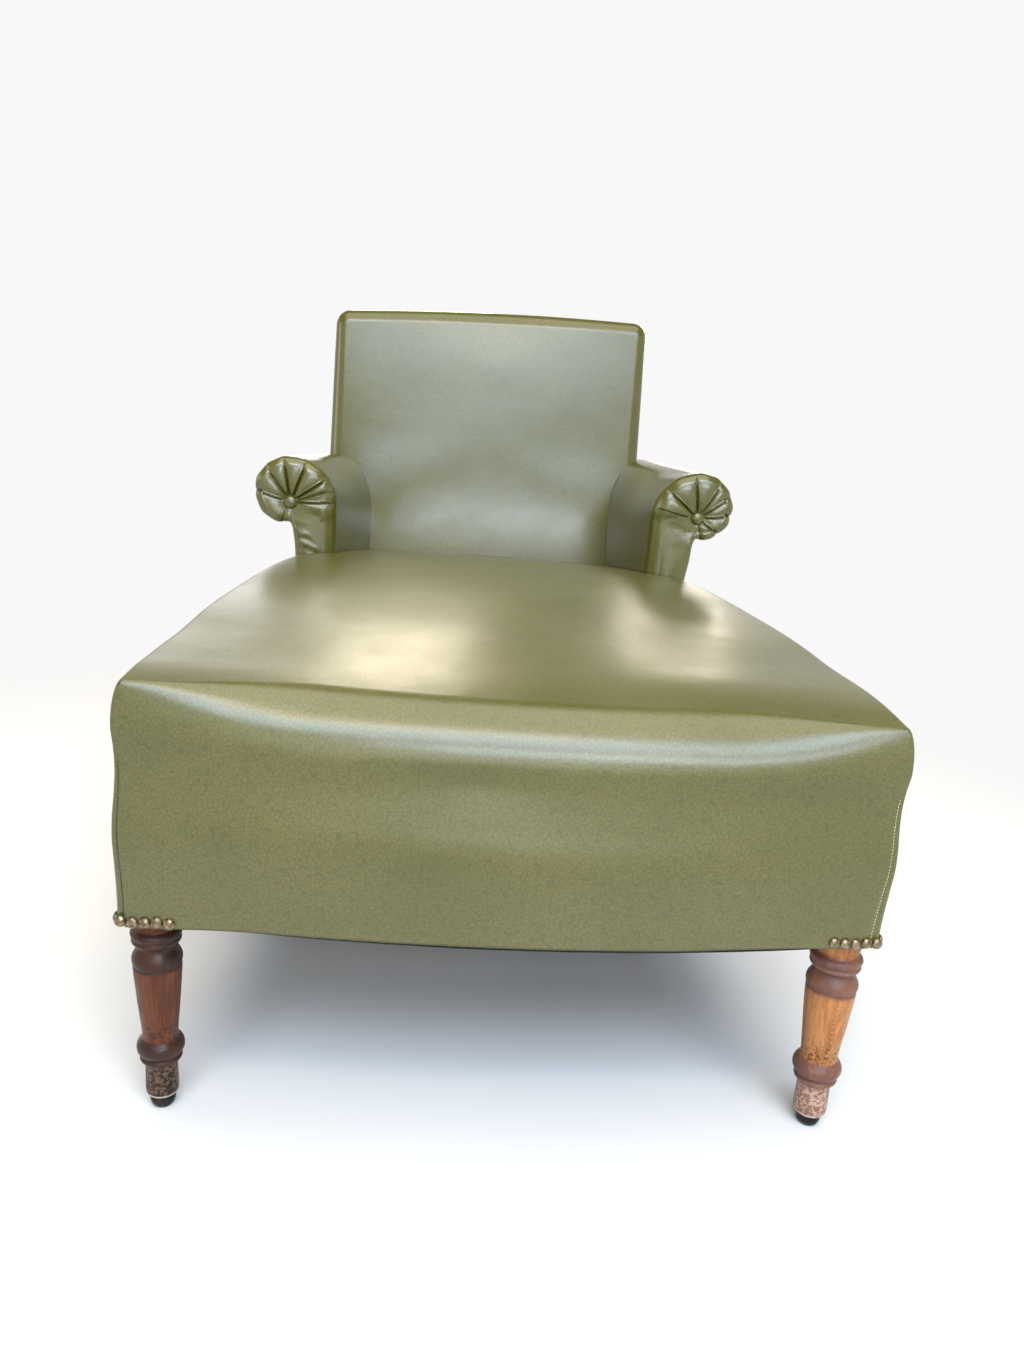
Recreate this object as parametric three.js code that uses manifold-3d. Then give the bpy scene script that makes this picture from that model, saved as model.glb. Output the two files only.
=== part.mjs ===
import * as THREE from 'three';
import { mergeVertices } from 'three/addons/utils/BufferGeometryUtils.js';
import Module from 'manifold-3d';

const wasm = await Module();
wasm.setup();

// Fainting couch: a bow-fronted sprung seat, a low raked back and two short scroll arms.
// Lengths are millimetres. X runs across, with the right hand side at +X as seen from the foot end,
// Y runs from the foot end to the back, and Z is up. While the pieces are made, Y = 0 is the line
// through the two front corners. The last step centres the couch over its own box.

// Clearances and skins
const fitGap = 0.3;
const coverThickness = 2.5;
const skin = coverThickness + fitGap;
const overrun = 60;

// Seat, over its cover
const frontHalfWidth = 365;
const armHalfWidth = 336;
const armStart = 804;
const seatLength = 1150;
const seatBow = 33;
const coverBottom = 221;
const waistHeight = 345;
const waistDepth = 5;
const edgeRollHeight = 45;
const edgeRollDepth = 45;
const edgeRollBow = 12;
const cornerDrawIn = 9;
const cornerReach = 150;
const seatBackHeight = 409;
const seatCrownHeight = 478;
const crownShares = [0.84, 0.66, 0.46, 0.26, 0.06];

// Heights of the seat top along its length: place, centre line and side edge
const seatTopShares = [
  [0, 0.61, 0.58], [0.09, 0.74, 0.60], [0.20, 0.86, 0.67], [0.32, 0.94, 0.75], [0.50, 1, 0.76],
  [0.60, 0.96, 0.76], [0.69, 0.78, 0.62], [0.78, 0.54, 0.42], [0.87, 0.32, 0.23], [1, 0, -0.05],
];

// Frame timber
const railBottom = 228;
const railHeight = 80;
const railTop = railBottom + railHeight;
const railThickness = 26;
const crossRailHeight = 34;
const glueBlockLeg = 50;
const postWidth = 38;
const postDepth = 40;

// Back, over its cover
const couchHeight = 871;
const postTopDrop = 23;
const postTop = couchHeight - postTopDrop;
const backHalfWidth = 303;
const backRise = 8;
const backCornerRadius = 24;
const backThickness = 88;
const backEdgeRadius = 22;
const backSwell = 20;
const backSwellPeakShare = 0.6;
const backSideShares = [0, 0.25, 0.5, 0.75, 1];
const backTopShares = [0.67, 0.33];
const backFaceShares = [0.82, 0.6, 0.36, 0.12];
const backFaceMiddleShare = 0.45;
const backRake = 0.196;
const backTopRear = 1337;
const backRailHeight = 50;
const backStayBottom = 425;
const backStayHeight = 36;

// Arms
const armRollHeight = 551;
const armRollOffset = 5;
const armRollRadius = 55;
const armRollInnerRadius = 63;
const armInnerFront = 258;
const armInnerBack = 236;
const armInnerLean = 10;
const armLeanDrop = 71;
const armLeanStart = armRollHeight - armLeanDrop;
const armPanelDrop = 57;
const armPanelTop = armRollHeight - armPanelDrop;
const postLeanDrop = 24;
const postLeanTop = armPanelTop - postLeanDrop;
const armPanelLean = 13;
const armPostSetback = 16;
const armPostDepth = 30;
const armPostWidth = 34;
const armBoardThickness = 26;
const armBoardInset = 60;
const armBoardReach = 12;
const stumpEdgeRadius = 9;
const stumpEdgeShares = [0, 0.15, 0.5, 1];
const pleatDepth = 3;
const pleatSwell = 3;
const pleatFanShare = 0.55;
// Rings of the pleated arm front: size, place between the button and the swell, depth of the pleats
const pleatRingShares = [[0.22, -1, 0], [0.42, 0, 1], [0.72, 1, 1], [0.92, 0, 0.5]];
const buttonRadius = 10;
const buttonHeight = 7;
const buttonSink = 5;
const buttonShares = [[0, 0], [0.92, 0], [1, 0.25], [0.86, 0.7], [0.5, 0.95], [0, 1]];
const buttonSides = 14;

// Legs and glides
const legX = 337;
const legY = 31;
const legBlock = 46;
const glideHeight = 12;
const glideRadius = 11;
const glideFlatRadius = 8.5;
const glideShares = [0.25, 0.75];
const glideSides = 12;
const rearFootKick = 38;
const rearFootWidth = 27;

// Springs and webbing
const springSeatTop = 384;
const springEndRadius = 45;
const springWaistRadius = 31;
const springWire = 4.5;
const springTurns = 4;
const springStepsPerTurn = 6;
const springWireSides = 4;
const springWaistShare = 1.5;
const springSpacing = 185;
const narrowSpringSpacing = 130;
const twineRadius = 1.5;
const twineSides = 6;
const springRowPlaces = [175, 405, 635, 945];
const wellFront = 45;
const wellWall = 46;
const rearWellWall = 22;
const wellHalfWidth = armHalfWidth - wellWall;
const rearWellHalfWidth = armInnerBack - rearWellWall;
const rearWellEnd = 1095;
const wellBreak = 782;
const webWidth = 50;
const webThickness = 2;
const webInset = 14;
const longWebPitch = 125;
const backLevelWebShares = [0.45, 0.75];
const crossWebPitch = 145;
const firstCrossWeb = 95;
const lastCrossWeb = 1110;
const hessianThickness = 1.5;
const dustCoverThickness = 1.5;
const dustCoverInset = 6;
const dustCoverLift = 2.3;
const dustCoverLegRoom = 6;
const dustCoverPostRoom = 3;

// Nails
const nailRadius = 6;
const nailHeight = 4;
const nailPitch = 11.5;
const nailsPerRow = 5;
const nailSides = 8;
const nailHeadShares = [[0, 0], [1, 0], [0.86, 0.55], [0.5, 0.9], [0, 1]];
const nailRowHeight = 229;

// Materials
const material = (color, roughness, metalness = 0) =>
  new THREE.MeshStandardMaterial({ color, roughness, metalness });
const vinyl = material(0x6f7040, 0.42);
const darkWood = material(0x4a2a18, 0.45);
const warmWood = material(0x7c4524, 0.45);
const frameTimber = material(0xb08a5c, 0.8);
const hessianCloth = material(0xa38a5d, 0.95);
const stuffingFibre = material(0xcdbb93, 0.95);
const webCloth = material(0x8c7a58, 0.9);
const dustCloth = material(0x1f1e1c, 0.9);
const springSteel = material(0x8b8f92, 0.35, 0.9);
const antiqueBrass = material(0x5a4630, 0.38, 0.85);
const glideMetal = material(0x2b2723, 0.5, 0.5);

const couch = new THREE.Group();

function addPiece(name, geometry, look) {
  const mesh = new THREE.Mesh(geometry, look);
  mesh.name = name;
  couch.add(mesh);
}

// Solids from geometries and back

function toSolid(geometry) {
  const bare = geometry.clone();
  bare.deleteAttribute('normal');
  bare.deleteAttribute('uv');
  const merged = mergeVertices(bare);
  return new wasm.Manifold(new wasm.Mesh({
    numProp: 3,
    vertProperties: new Float32Array(merged.attributes.position.array),
    triVerts: new Uint32Array(merged.index.array),
  }));
}

function toGeometry(solid) {
  const mesh = solid.getMesh();
  const points = new Float32Array((mesh.vertProperties.length / mesh.numProp) * 3);
  for (let i = 0; i < points.length / 3; i += 1) {
    for (let axis = 0; axis < 3; axis += 1) {
      points[i * 3 + axis] = mesh.vertProperties[i * mesh.numProp + axis];
    }
  }
  const geometry = new THREE.BufferGeometry();
  geometry.setAttribute('position', new THREE.BufferAttribute(points, 3));
  geometry.setIndex(new THREE.BufferAttribute(new Uint32Array(mesh.triVerts), 1));
  return geometry;
}

const subtractAll = (solid, cutters) => cutters.reduce((left, cutter) => left.subtract(cutter), solid);
const addAll = (solids) => solids.reduce((sum, solid) => sum.add(solid));

function signedVolume(positions, indices) {
  const corner = (i) => new THREE.Vector3().fromArray(positions, indices[i] * 3);
  let volume = 0;
  for (let i = 0; i < indices.length; i += 3) {
    volume += corner(i).dot(corner(i + 1).cross(corner(i + 2)));
  }
  return volume;
}

// The wall of a body through a stack of rings that have the same number of points
function ringWall(rings) {
  const count = rings[0].length;
  const positions = rings.flat().flatMap((place) => [place.x, place.y, place.z]);
  const indices = [];
  for (let ring = 0; ring < rings.length - 1; ring += 1) {
    for (let i = 0; i < count; i += 1) {
      const low = ring * count + i;
      const next = ring * count + ((i + 1) % count);
      indices.push(low, next, next + count, low, next + count, low + count);
    }
  }
  return { positions, indices };
}

function closedBody(positions, indices) {
  if (signedVolume(positions, indices) < 0) indices.reverse();
  const geometry = new THREE.BufferGeometry();
  geometry.setAttribute('position', new THREE.Float32BufferAttribute(positions, 3));
  geometry.setIndex(indices);
  return geometry;
}

// A closed body through rings of any outline. The end rings are filled flat, seen along the axis.
function loft(rings, axis = 'z') {
  const { positions, indices } = ringWall(rings);
  const flatten = (p) => (axis === 'z' ? new THREE.Vector2(p.x, p.y) : new THREE.Vector2(p.z, p.x));
  const addCap = (ring, offset, isLast) => {
    const outline = ring.map(flatten);
    const keepOrder = THREE.ShapeUtils.isClockWise(outline) !== isLast;
    THREE.ShapeUtils.triangulateShape(outline, []).forEach(([a, b, c]) => {
      const order = keepOrder ? [a, b, c] : [a, c, b];
      indices.push(...order.map((i) => i + offset));
    });
  };
  addCap(rings[0], 0, false);
  addCap(rings.at(-1), (rings.length - 1) * rings[0].length, true);
  return closedBody(positions, indices);
}

// A tube through small round rings
function tube(rings) {
  const { positions, indices } = ringWall(rings);
  const last = (rings.length - 1) * rings[0].length;
  for (let i = 1; i < rings[0].length - 1; i += 1) {
    indices.push(0, i + 1, i, last, last + i, last + i + 1);
  }
  return closedBody(positions, indices);
}

const solidLoft = (rings, axis) => toSolid(loft(rings, axis));

function box(low, high) {
  const size = new THREE.Vector3().subVectors(high, low);
  const middle = new THREE.Vector3().addVectors(low, high).multiplyScalar(1 / 2);
  return new THREE.BoxGeometry(size.x, size.y, size.z).translate(middle.x, middle.y, middle.z);
}

const point = (x, y, z) => new THREE.Vector3(x, y, z);
const mix = THREE.MathUtils.lerp;
const smooth = THREE.MathUtils.smoothstep;

function mirrored(geometry) {
  const copy = geometry.clone();
  copy.scale(-1, 1, 1);
  const source = copy.index ?? new THREE.BufferAttribute(
    Uint32Array.from({ length: copy.attributes.position.count }, (unused, i) => i), 1);
  copy.setIndex(Array.from(source.array).reverse());
  return copy;
}

function addPair(name, geometry, look, leftLook = look) {
  addPiece(`right_${name}`, geometry, look);
  addPiece(`left_${name}`, mirrored(geometry), leftLook);
}

// Reference lines of the couch

// Outer face of the seat cover on the right hand side
const sideLine = (y) => mix(frontHalfWidth, armHalfWidth, y / armStart);
// Rear face of the outside back cover
const rearPlane = (z) => backTopRear - backRake * (couchHeight - z);
// Inner face of the right arm
const armInnerLine = (y) =>
  mix(armInnerFront, armInnerBack, (y - armStart) / (seatLength - armStart));
// Outer face of the outside arm cover
const armPanelLine = (y, z) =>
  sideLine(y) - armPanelLean * THREE.MathUtils.clamp((z - railTop) / (armPanelTop - railTop), 0, 1);
// Centre of the arm roll
const armRollLine = (y) => sideLine(y) - armRollOffset;

function seatTop(x, y) {
  const place = THREE.MathUtils.clamp(y / seatLength, 0, 1);
  const row = Math.max(1, seatTopShares.findIndex(([share]) => share >= place));
  const [from, fromCentre, fromEdge] = seatTopShares[row - 1];
  const [to, toCentre, toEdge] = seatTopShares[row];
  const between = (place - from) / (to - from);
  const across = (x / sideLine(y)) ** 2;
  const share = mix(mix(fromCentre, toCentre, between), mix(fromEdge, toEdge, between), across);
  return mix(seatBackHeight, seatCrownHeight, share);
}

// Seat shape: stations around its plan, each with a place on the front, a side or the rear

const seatFrontSteps = 14;
const seatSideSteps = 12;
const seatRearSteps = 4;
const rollSteps = 3;
const seatEnd = seatLength + edgeRollDepth;

function seatStations() {
  const stations = [];
  for (let i = 0; i <= seatFrontSteps; i += 1) {
    stations.push({ edge: 'front', across: (2 * i) / seatFrontSteps - 1 });
  }
  for (let i = 1; i <= seatSideSteps; i += 1) {
    stations.push({ edge: 'side', side: 1, along: i / seatSideSteps });
  }
  for (let i = 1; i < seatRearSteps; i += 1) {
    stations.push({ edge: 'rear', across: 1 - (2 * i) / seatRearSteps });
  }
  for (let i = seatSideSteps; i > 0; i -= 1) {
    stations.push({ edge: 'side', side: -1, along: i / seatSideSteps });
  }
  return stations;
}

function seatPlanPoint(station, inset, bow) {
  if (station.edge === 'front') {
    const x = station.across * (frontHalfWidth - inset);
    return { x, y: inset - bow * (1 - station.across ** 2) };
  }
  if (station.edge === 'rear') {
    return { x: station.across * (sideLine(seatEnd) - inset), y: seatEnd - inset };
  }
  const y = mix(inset, seatEnd - inset, station.along);
  return { x: station.side * (sideLine(y) - inset), y };
}

function edgeRollAt(station) {
  if (station.edge === 'rear') return cornerDrawIn;
  const fromCorner = station.edge === 'front'
    ? (1 - Math.abs(station.across)) * frontHalfWidth
    : station.along * seatEnd;
  return mix(cornerDrawIn, edgeRollDepth, smooth(fromCorner, 0, cornerReach));
}

// The whole seat as one crowned block, drawn in by inset on every face and cut off at bottom
function seatBlock(inset, bottom) {
  const rings = [];
  const wall = (height, drawIn, bow) => rings.push(seatStations().map((station) => {
    const plan = seatPlanPoint(station, inset + drawIn, bow);
    return point(plan.x, plan.y, height);
  }));
  wall(bottom, 0, seatBow);
  wall(railTop, 0, seatBow);
  wall(waistHeight, waistDepth, seatBow);
  const bow = seatBow + edgeRollBow;
  for (let i = 0; i <= rollSteps; i += 1) {
    const angle = (i / rollSteps) * (Math.PI / 2);
    rings.push(seatStations().map((station) => {
      const depth = edgeRollAt(station);
      const plan = seatPlanPoint(station, inset + depth * (1 - Math.cos(angle)), bow);
      const crest = seatPlanPoint(station, inset + depth, bow);
      const top = seatTop(crest.x, crest.y) - inset;
      return point(plan.x, plan.y, top - edgeRollHeight * (1 - Math.sin(angle)));
    }));
  }
  const middle = seatLength / 2;
  crownShares.forEach((share) => rings.push(seatStations().map((station) => {
    const plan = seatPlanPoint(station, inset + edgeRollAt(station), bow);
    const x = plan.x * share;
    const y = mix(middle, plan.y, share);
    const height = share === crownShares.at(-1) ? seatTop(0, middle) : seatTop(x, y);
    return point(x, y, height - inset);
  })));
  return solidLoft(rings);
}

// All padded shapes reach down to this level before they are cut off above the rails
const upholsteryRoot = railTop - overrun;
const tuckBottom = railTop + fitGap;

function below(height) {
  const half = frontHalfWidth + overrun;
  const low = point(-half, -overrun - seatBow, -overrun);
  return toSolid(box(low, point(half, backTopRear + overrun, height)));
}

// Back shape: its outline seen from the front, and its depth measured forward from the rear plane

function backOutline(inset, bottom = upholsteryRoot) {
  const half = backHalfWidth - inset;
  const shoulder = couchHeight - backRise - inset;
  const radius = Math.max(backCornerRadius - inset, backCornerRadius / 2);
  const topAt = (x) => shoulder + backRise * (1 - (x / half) ** 2);
  const rightSide = backSideShares.map((share) =>
    ({ x: half, z: mix(bottom, shoulder - radius, share) }));
  const arcSteps = 3;
  for (let i = 1; i <= arcSteps; i += 1) {
    const angle = (i / arcSteps) * (Math.PI / 2);
    rightSide.push({
      x: half - radius * (1 - Math.cos(angle)), z: shoulder - radius * (1 - Math.sin(angle)),
    });
  }
  const topHalf = half - radius;
  backTopShares.forEach((share) => rightSide.push({ x: topHalf * share, z: topAt(topHalf * share) }));
  const leftSide = [...rightSide].reverse().map(({ x, z }) => ({ x: -x, z }));
  const bottomEdge = [-1, 0, 1].map((place) => ({ x: (half * place) / 2, z: bottom }));
  return [...rightSide, { x: 0, z: topAt(0) }, ...leftSide, ...bottomEdge];
}

function backSwellAt(x, z) {
  const up = THREE.MathUtils.clamp((z - railTop) / (couchHeight - railTop), 0, 1);
  return backSwell * (1 - (x / backHalfWidth) ** 2) * Math.sin(Math.PI * up ** backSwellPeakShare);
}

// The padded back drawn in by inset, from rearDepth forward of the rear plane, down to the root
function backBlock(inset, rearDepth) {
  const rings = [];
  const raked = (x, depth, z) => point(x, rearPlane(z) - depth, z);
  const ringAt = (depth, drawIn) =>
    rings.push(backOutline(inset + drawIn).map(({ x, z }) => raked(x, depth, z)));
  ringAt(rearDepth, 0);
  const face = backThickness - inset;
  for (let i = 0; i <= rollSteps; i += 1) {
    const angle = (i / rollSteps) * (Math.PI / 2);
    ringAt(face - backEdgeRadius * (1 - Math.sin(angle)), backEdgeRadius * (1 - Math.cos(angle)));
  }
  const middle = mix(railTop, couchHeight, backFaceMiddleShare);
  backFaceShares.forEach((share) => {
    rings.push(backOutline(inset + backEdgeRadius).map((place) => {
      const x = place.x * share;
      const z = mix(middle, place.z, share);
      return raked(x, face + backSwellAt(x, z), z);
    }));
  });
  return solidLoft(rings, 'y');
}

// Everything behind a plane that lies depth forward of the rear plane
function behindRearPlane(depth) {
  const reach = backTopRear + overrun;
  const half = frontHalfWidth + overrun;
  const ring = (z) => [
    point(-half, rearPlane(z) - depth, z), point(half, rearPlane(z) - depth, z),
    point(half, reach, z), point(-half, reach, z),
  ];
  return solidLoft([ring(-overrun), ring(couchHeight + overrun)]);
}

// Arm shape: a stump below and a roll above, both for the right hand side

const armRollPoints = 28;
const armEnd = backTopRear + overrun;

function stumpBlock(inset) {
  const ring = (z, lean) => {
    const front = armStart + inset;
    const inner = (y) => armInnerLine(y) + lean + inset;
    const outer = (y) => armPanelLine(y, z) - skin - inset;
    const corner = (y) => Math.sqrt(stumpEdgeRadius ** 2 - (stumpEdgeRadius - y) ** 2);
    const round = stumpEdgeShares.map((share) => share * stumpEdgeRadius);
    const innerEdge = round.map((y) => point(inner(front + y) + stumpEdgeRadius - corner(y), front + y, z));
    const outerEdge = round.map((y) => point(outer(front + y) - stumpEdgeRadius + corner(y), front + y, z));
    return [
      ...innerEdge.reverse(), ...outerEdge,
      point(outer(armEnd), armEnd, z), point(inner(armEnd), armEnd, z),
    ];
  };
  const leanAt = (z) => armInnerLean * ((z - armLeanStart) / (armRollHeight - armLeanStart));
  return solidLoft([
    ring(upholsteryRoot, 0), ring(railTop, 0), ring(armLeanStart, 0),
    ring(armPanelTop, leanAt(armPanelTop)), ring(armRollHeight, armInnerLean),
  ]);
}

// The roll, with pleats that run from the button to the rim over its upper part, where every other
// point is drawn in
function rollBlock(inset) {
  const ring = (share, y, groove) => Array.from({ length: armRollPoints }, (unused, i) => {
    const angle = (i / armRollPoints) * 2 * Math.PI;
    const isGroove = i % 2 === 1 && i < armRollPoints * pleatFanShare;
    const reach = (Math.cos(angle) > 0 ? armRollRadius : armRollInnerRadius) - inset;
    const x = armRollLine(y) + share * reach * Math.cos(angle);
    const z = armRollHeight + share * (armRollRadius - inset) * Math.sin(angle);
    return point(x, y + (isGroove ? groove : 0), z);
  });
  const front = armStart + inset;
  const rings = pleatRingShares.map(([share, out, groove]) => {
    const forward = out < 0 ? out * buttonSink : out * pleatSwell;
    return ring(share, front - forward, groove * pleatDepth);
  });
  return solidLoft([...rings, ring(1, front + stumpEdgeRadius, 0), ring(1, armEnd, 0)], 'y');
}

const armBlock = (inset) => stumpBlock(inset).add(rollBlock(inset));

// A plank or post that follows the tapering side: corners measured inward from the side line
function sidePlank(levels) {
  return loft(levels.map(({ z, front, rear, outer, inner }) => [
    point(sideLine(front) - outer, front, z), point(sideLine(rear) - outer, rear, z),
    point(sideLine(rear) - inner, rear, z), point(sideLine(front) - inner, front, z),
  ]));
}

// Frame pieces

// Rear leg and back post in one timber: it kicks back to the foot and leans in above the rail
function backPost(grow) {
  const ring = (z, width, lean, kick, depth) => {
    const rear = rearPlane(z) - skin + kick + grow;
    const front = rear - depth - 2 * grow;
    const outerAt = (y) => mix(sideLine(y), backHalfWidth, lean) - skin + grow;
    return [
      point(outerAt(front) - width - 2 * grow, front, z), point(outerAt(front), front, z),
      point(outerAt(rear), rear, z), point(outerAt(rear) - width - 2 * grow, rear, z),
    ];
  };
  const footZ = glideHeight + fitGap;
  const kick = rearFootKick + rearPlane(coverBottom) - rearPlane(footZ);
  return loft([
    ring(footZ, rearFootWidth, 0, kick, rearFootWidth),
    ring(coverBottom, postWidth, 0, 0, postDepth),
    ring(railTop, postWidth, 0, 0, postDepth),
    ring(postLeanTop, postWidth, 1, 0, postDepth),
    ring(postTop, postWidth, 1, 0, postDepth),
  ]);
}

const frameDepth = skin + postDepth;
const postInnerX = (z) => sideLine(rearPlane(z) - skin) - skin - postWidth;

function backRail(bottom, height, half) {
  const top = bottom + height;
  const ring = (z) => {
    const rear = rearPlane(z) - skin;
    const front = rear - railThickness;
    return [point(-half, front, z), point(half, front, z), point(half, rear, z), point(-half, rear, z)];
  };
  return loft([ring(bottom), ring(top)]);
}

// The bowed line of the front, inset from the outer face of the cover
const bowLine = (x, inset) => inset - seatBow * (1 - (x / (frontHalfWidth - skin)) ** 2);
const railInnerFront = (x) => bowLine(x, skin + railThickness);

function bowedRail() {
  const half = legX - legBlock / 2 - fitGap;
  const line = (inset) => Array.from({ length: seatFrontSteps + 1 }, (unused, i) => {
    const x = mix(-half, half, i / seatFrontSteps);
    return { x, y: bowLine(x, inset) };
  });
  const outline = [...line(skin), ...line(skin + railThickness).reverse()];
  return loft([railBottom, railTop].map((z) => outline.map(({ x, y }) => point(x, y, z))));
}

function frontGlueBlock() {
  const outer = legX - legBlock / 2 - fitGap;
  const inner = outer - glueBlockLeg;
  const railFace = (x) => railInnerFront(x) + fitGap * 2;
  const outline = [[inner, railFace(inner)], [outer, railFace(outer)], [outer, legY + legBlock / 2]];
  return loft([railBottom, railTop].map((z) => outline.map(([x, y]) => point(x, y, z))));
}

function rearGlueBlock() {
  const ring = (z) => {
    const outer = postInnerX(railTop) - fitGap;
    const rear = rearPlane(z) - skin - railThickness - fitGap;
    const inner = outer - glueBlockLeg;
    return [point(inner, rear, z), point(outer, rear - glueBlockLeg, z), point(outer, rear, z)];
  };
  return loft([ring(railBottom), ring(railTop)]);
}

function addFrame() {
  addPiece('front_rail', bowedRail(), frameTimber);
  addPiece('rear_rail', backRail(railBottom, railHeight, postInnerX(railTop) - fitGap), frameTimber);
  const railLevel = (z) => ({
    z, front: legY + legBlock / 2 + fitGap, rear: rearPlane(z) - frameDepth - fitGap,
    outer: skin, inner: skin + railThickness,
  });
  addPair('side_rail', sidePlank([railLevel(railBottom), railLevel(railTop)]), frameTimber);
  const crossFront = armStart - railThickness / 2 - armPostSetback;
  const crossHalf = sideLine(crossFront + railThickness) - skin - railThickness - fitGap;
  addPiece('cross_rail', box(
    point(-crossHalf, crossFront, railBottom),
    point(crossHalf, crossFront + railThickness, railBottom + crossRailHeight)), frameTimber);
  addPair('front_corner_block', frontGlueBlock(), frameTimber);
  addPair('rear_corner_block', rearGlueBlock(), frameTimber);
  addPair('rear_leg_and_post', backPost(0), warmWood, darkWood);
  const upperHalf = backHalfWidth - skin - postWidth - fitGap;
  addPiece('back_top_rail', backRail(postTop - backRailHeight, backRailHeight, upperHalf), frameTimber);
  addPiece('back_stay_rail', backRail(backStayBottom, backStayHeight, upperHalf), frameTimber);
}

// Turned front legs

// Share of the height under the rail, and radius as a share of the lower bead
const legTurnShares = [
  [0, 0.62], [0.03, 0.69], [0.062, 0.66], [0.20, 0.64], [0.215, 0.78], [0.23, 0.78],
  [0.247, 0.66], [0.27, 0.9], [0.295, 1], [0.32, 1], [0.345, 0.86], [0.365, 0.7], [0.52, 0.83],
  [0.66, 1.0], [0.685, 1.04], [0.70, 0.94], [0.715, 0.94], [0.73, 1.03], [0.75, 1.0], [0.765, 0.82],
  [0.79, 0.8], [0.81, 0.92], [0.83, 1.02], [0.86, 1.02], [0.88, 0.9], [0.9, 0.8], [1, 0.9],
];
const legBeadRadius = 25;
const legTurnSides = 16;

function frontLeg() {
  const bottom = glideHeight + fitGap;
  const height = railBottom - bottom;
  const profile = legTurnShares.map(([up, out]) =>
    new THREE.Vector2(out * legBeadRadius, bottom + up * height));
  const neckTop = railBottom + fitGap;
  profile.push(new THREE.Vector2(legTurnShares.at(-1)[1] * legBeadRadius, neckTop));
  const outline = [new THREE.Vector2(0, bottom), ...profile, new THREE.Vector2(0, neckTop)];
  const turned = new THREE.LatheGeometry(outline, legTurnSides).rotateX(Math.PI / 2);
  const half = legBlock / 2;
  const block = box(point(legX - half, legY - half, railBottom), point(legX + half, legY + half, railTop));
  return toGeometry(toSolid(turned.translate(legX, legY, 0)).add(toSolid(block)));
}

function glide(x, y) {
  const girth = glideShares.map((share) => [glideRadius, share * glideHeight]);
  const outline = [[0, 0], [glideFlatRadius, 0], ...girth, [glideFlatRadius, glideHeight], [0, glideHeight]]
    .map(([radius, z]) => new THREE.Vector2(radius, z));
  return new THREE.LatheGeometry(outline, glideSides).rotateX(Math.PI / 2).translate(x, y, 0);
}

function addLegs() {
  addPair('front_leg', frontLeg(), warmWood, darkWood);
  addPair('front_glide', glide(legX, legY), glideMetal);
  const footRear = rearPlane(coverBottom) - skin + rearFootKick;
  const footY = footRear - rearFootWidth / 2;
  const footX = sideLine(footY) - skin - rearFootWidth / 2;
  addPair('rear_glide', glide(footX, footY), glideMetal);
}

// Springing: webbing under the rails, lashed coil springs and hessian over them

function webLattice(longPlaces, crossPlaces, lowX, highX, lowY, highY, z) {
  const half = webWidth / 2;
  const long = longPlaces.map((x) =>
    toSolid(box(point(x - half, lowY, z), point(x + half, highY, z + webThickness))));
  const cross = crossPlaces.map((y) =>
    toSolid(box(point(lowX, y - half, z), point(highX, y + half, z + webThickness))));
  return addAll([...long, ...cross]);
}

function seatWebbing() {
  const z = railBottom - fitGap - webThickness;
  const crossCount = Math.round((lastCrossWeb - firstCrossWeb) / crossWebPitch);
  const crossPlaces = Array.from({ length: crossCount + 1 }, (unused, i) =>
    mix(firstCrossWeb, lastCrossWeb, i / crossCount));
  const longPlaces = [-2, -1, 0, 1, 2].map((i) => i * longWebPitch);
  const lattice = webLattice(longPlaces, crossPlaces, -frontHalfWidth, frontHalfWidth,
    -seatBow, rearPlane(z) - skin - webInset, z);
  const plan = seatStations().map((station) => seatPlanPoint(station, webInset, seatBow));
  const trim = solidLoft([z - overrun, z + overrun].map((height) =>
    plan.map(({ x, y }) => point(x, y > seatLength ? seatLength + overrun : y, height))));
  return toGeometry(lattice.intersect(trim));
}

function coil(x, y, bottom, top) {
  const steps = springTurns * springStepsPerTurn;
  const wire = springWire / 2;
  const rings = Array.from({ length: steps + 1 }, (unused, i) => {
    const share = i / steps;
    const angle = share * springTurns * 2 * Math.PI;
    const bulge = Math.abs(2 * share - 1) ** springWaistShare;
    const radius = mix(springWaistRadius, springEndRadius, bulge);
    const z = mix(bottom + wire, top - wire, share);
    return Array.from({ length: springWireSides }, (alsoUnused, k) => {
      const turn = (k / springWireSides) * 2 * Math.PI;
      const out = radius + wire * Math.cos(turn);
      return point(x + out * Math.cos(angle), y + out * Math.sin(angle), z + wire * Math.sin(turn));
    });
  });
  return toSolid(tube(rings));
}

function springRow(y, spacing) {
  const bottom = railBottom + fitGap;
  const top = springSeatTop - hessianThickness - fitGap * 2;
  const coils = [-1, 0, 1].map((i) => coil(i * spacing, y, bottom, top));
  const reach = spacing + springEndRadius;
  const twine = new THREE.CylinderGeometry(twineRadius, twineRadius, 2 * reach, twineSides)
    .rotateZ(Math.PI / 2).translate(0, y, top - springWire / 2);
  return toGeometry(addAll([toSolid(twine), ...coils]));
}

function wellPieces(shrink, bottom, top) {
  return [
    toSolid(box(point(-wellHalfWidth + shrink, wellFront + shrink, bottom),
      point(wellHalfWidth - shrink, wellBreak - shrink, top))),
    toSolid(box(point(-rearWellHalfWidth + shrink, wellBreak - overrun, bottom),
      point(rearWellHalfWidth - shrink, rearWellEnd - shrink, top))),
  ];
}

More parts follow.
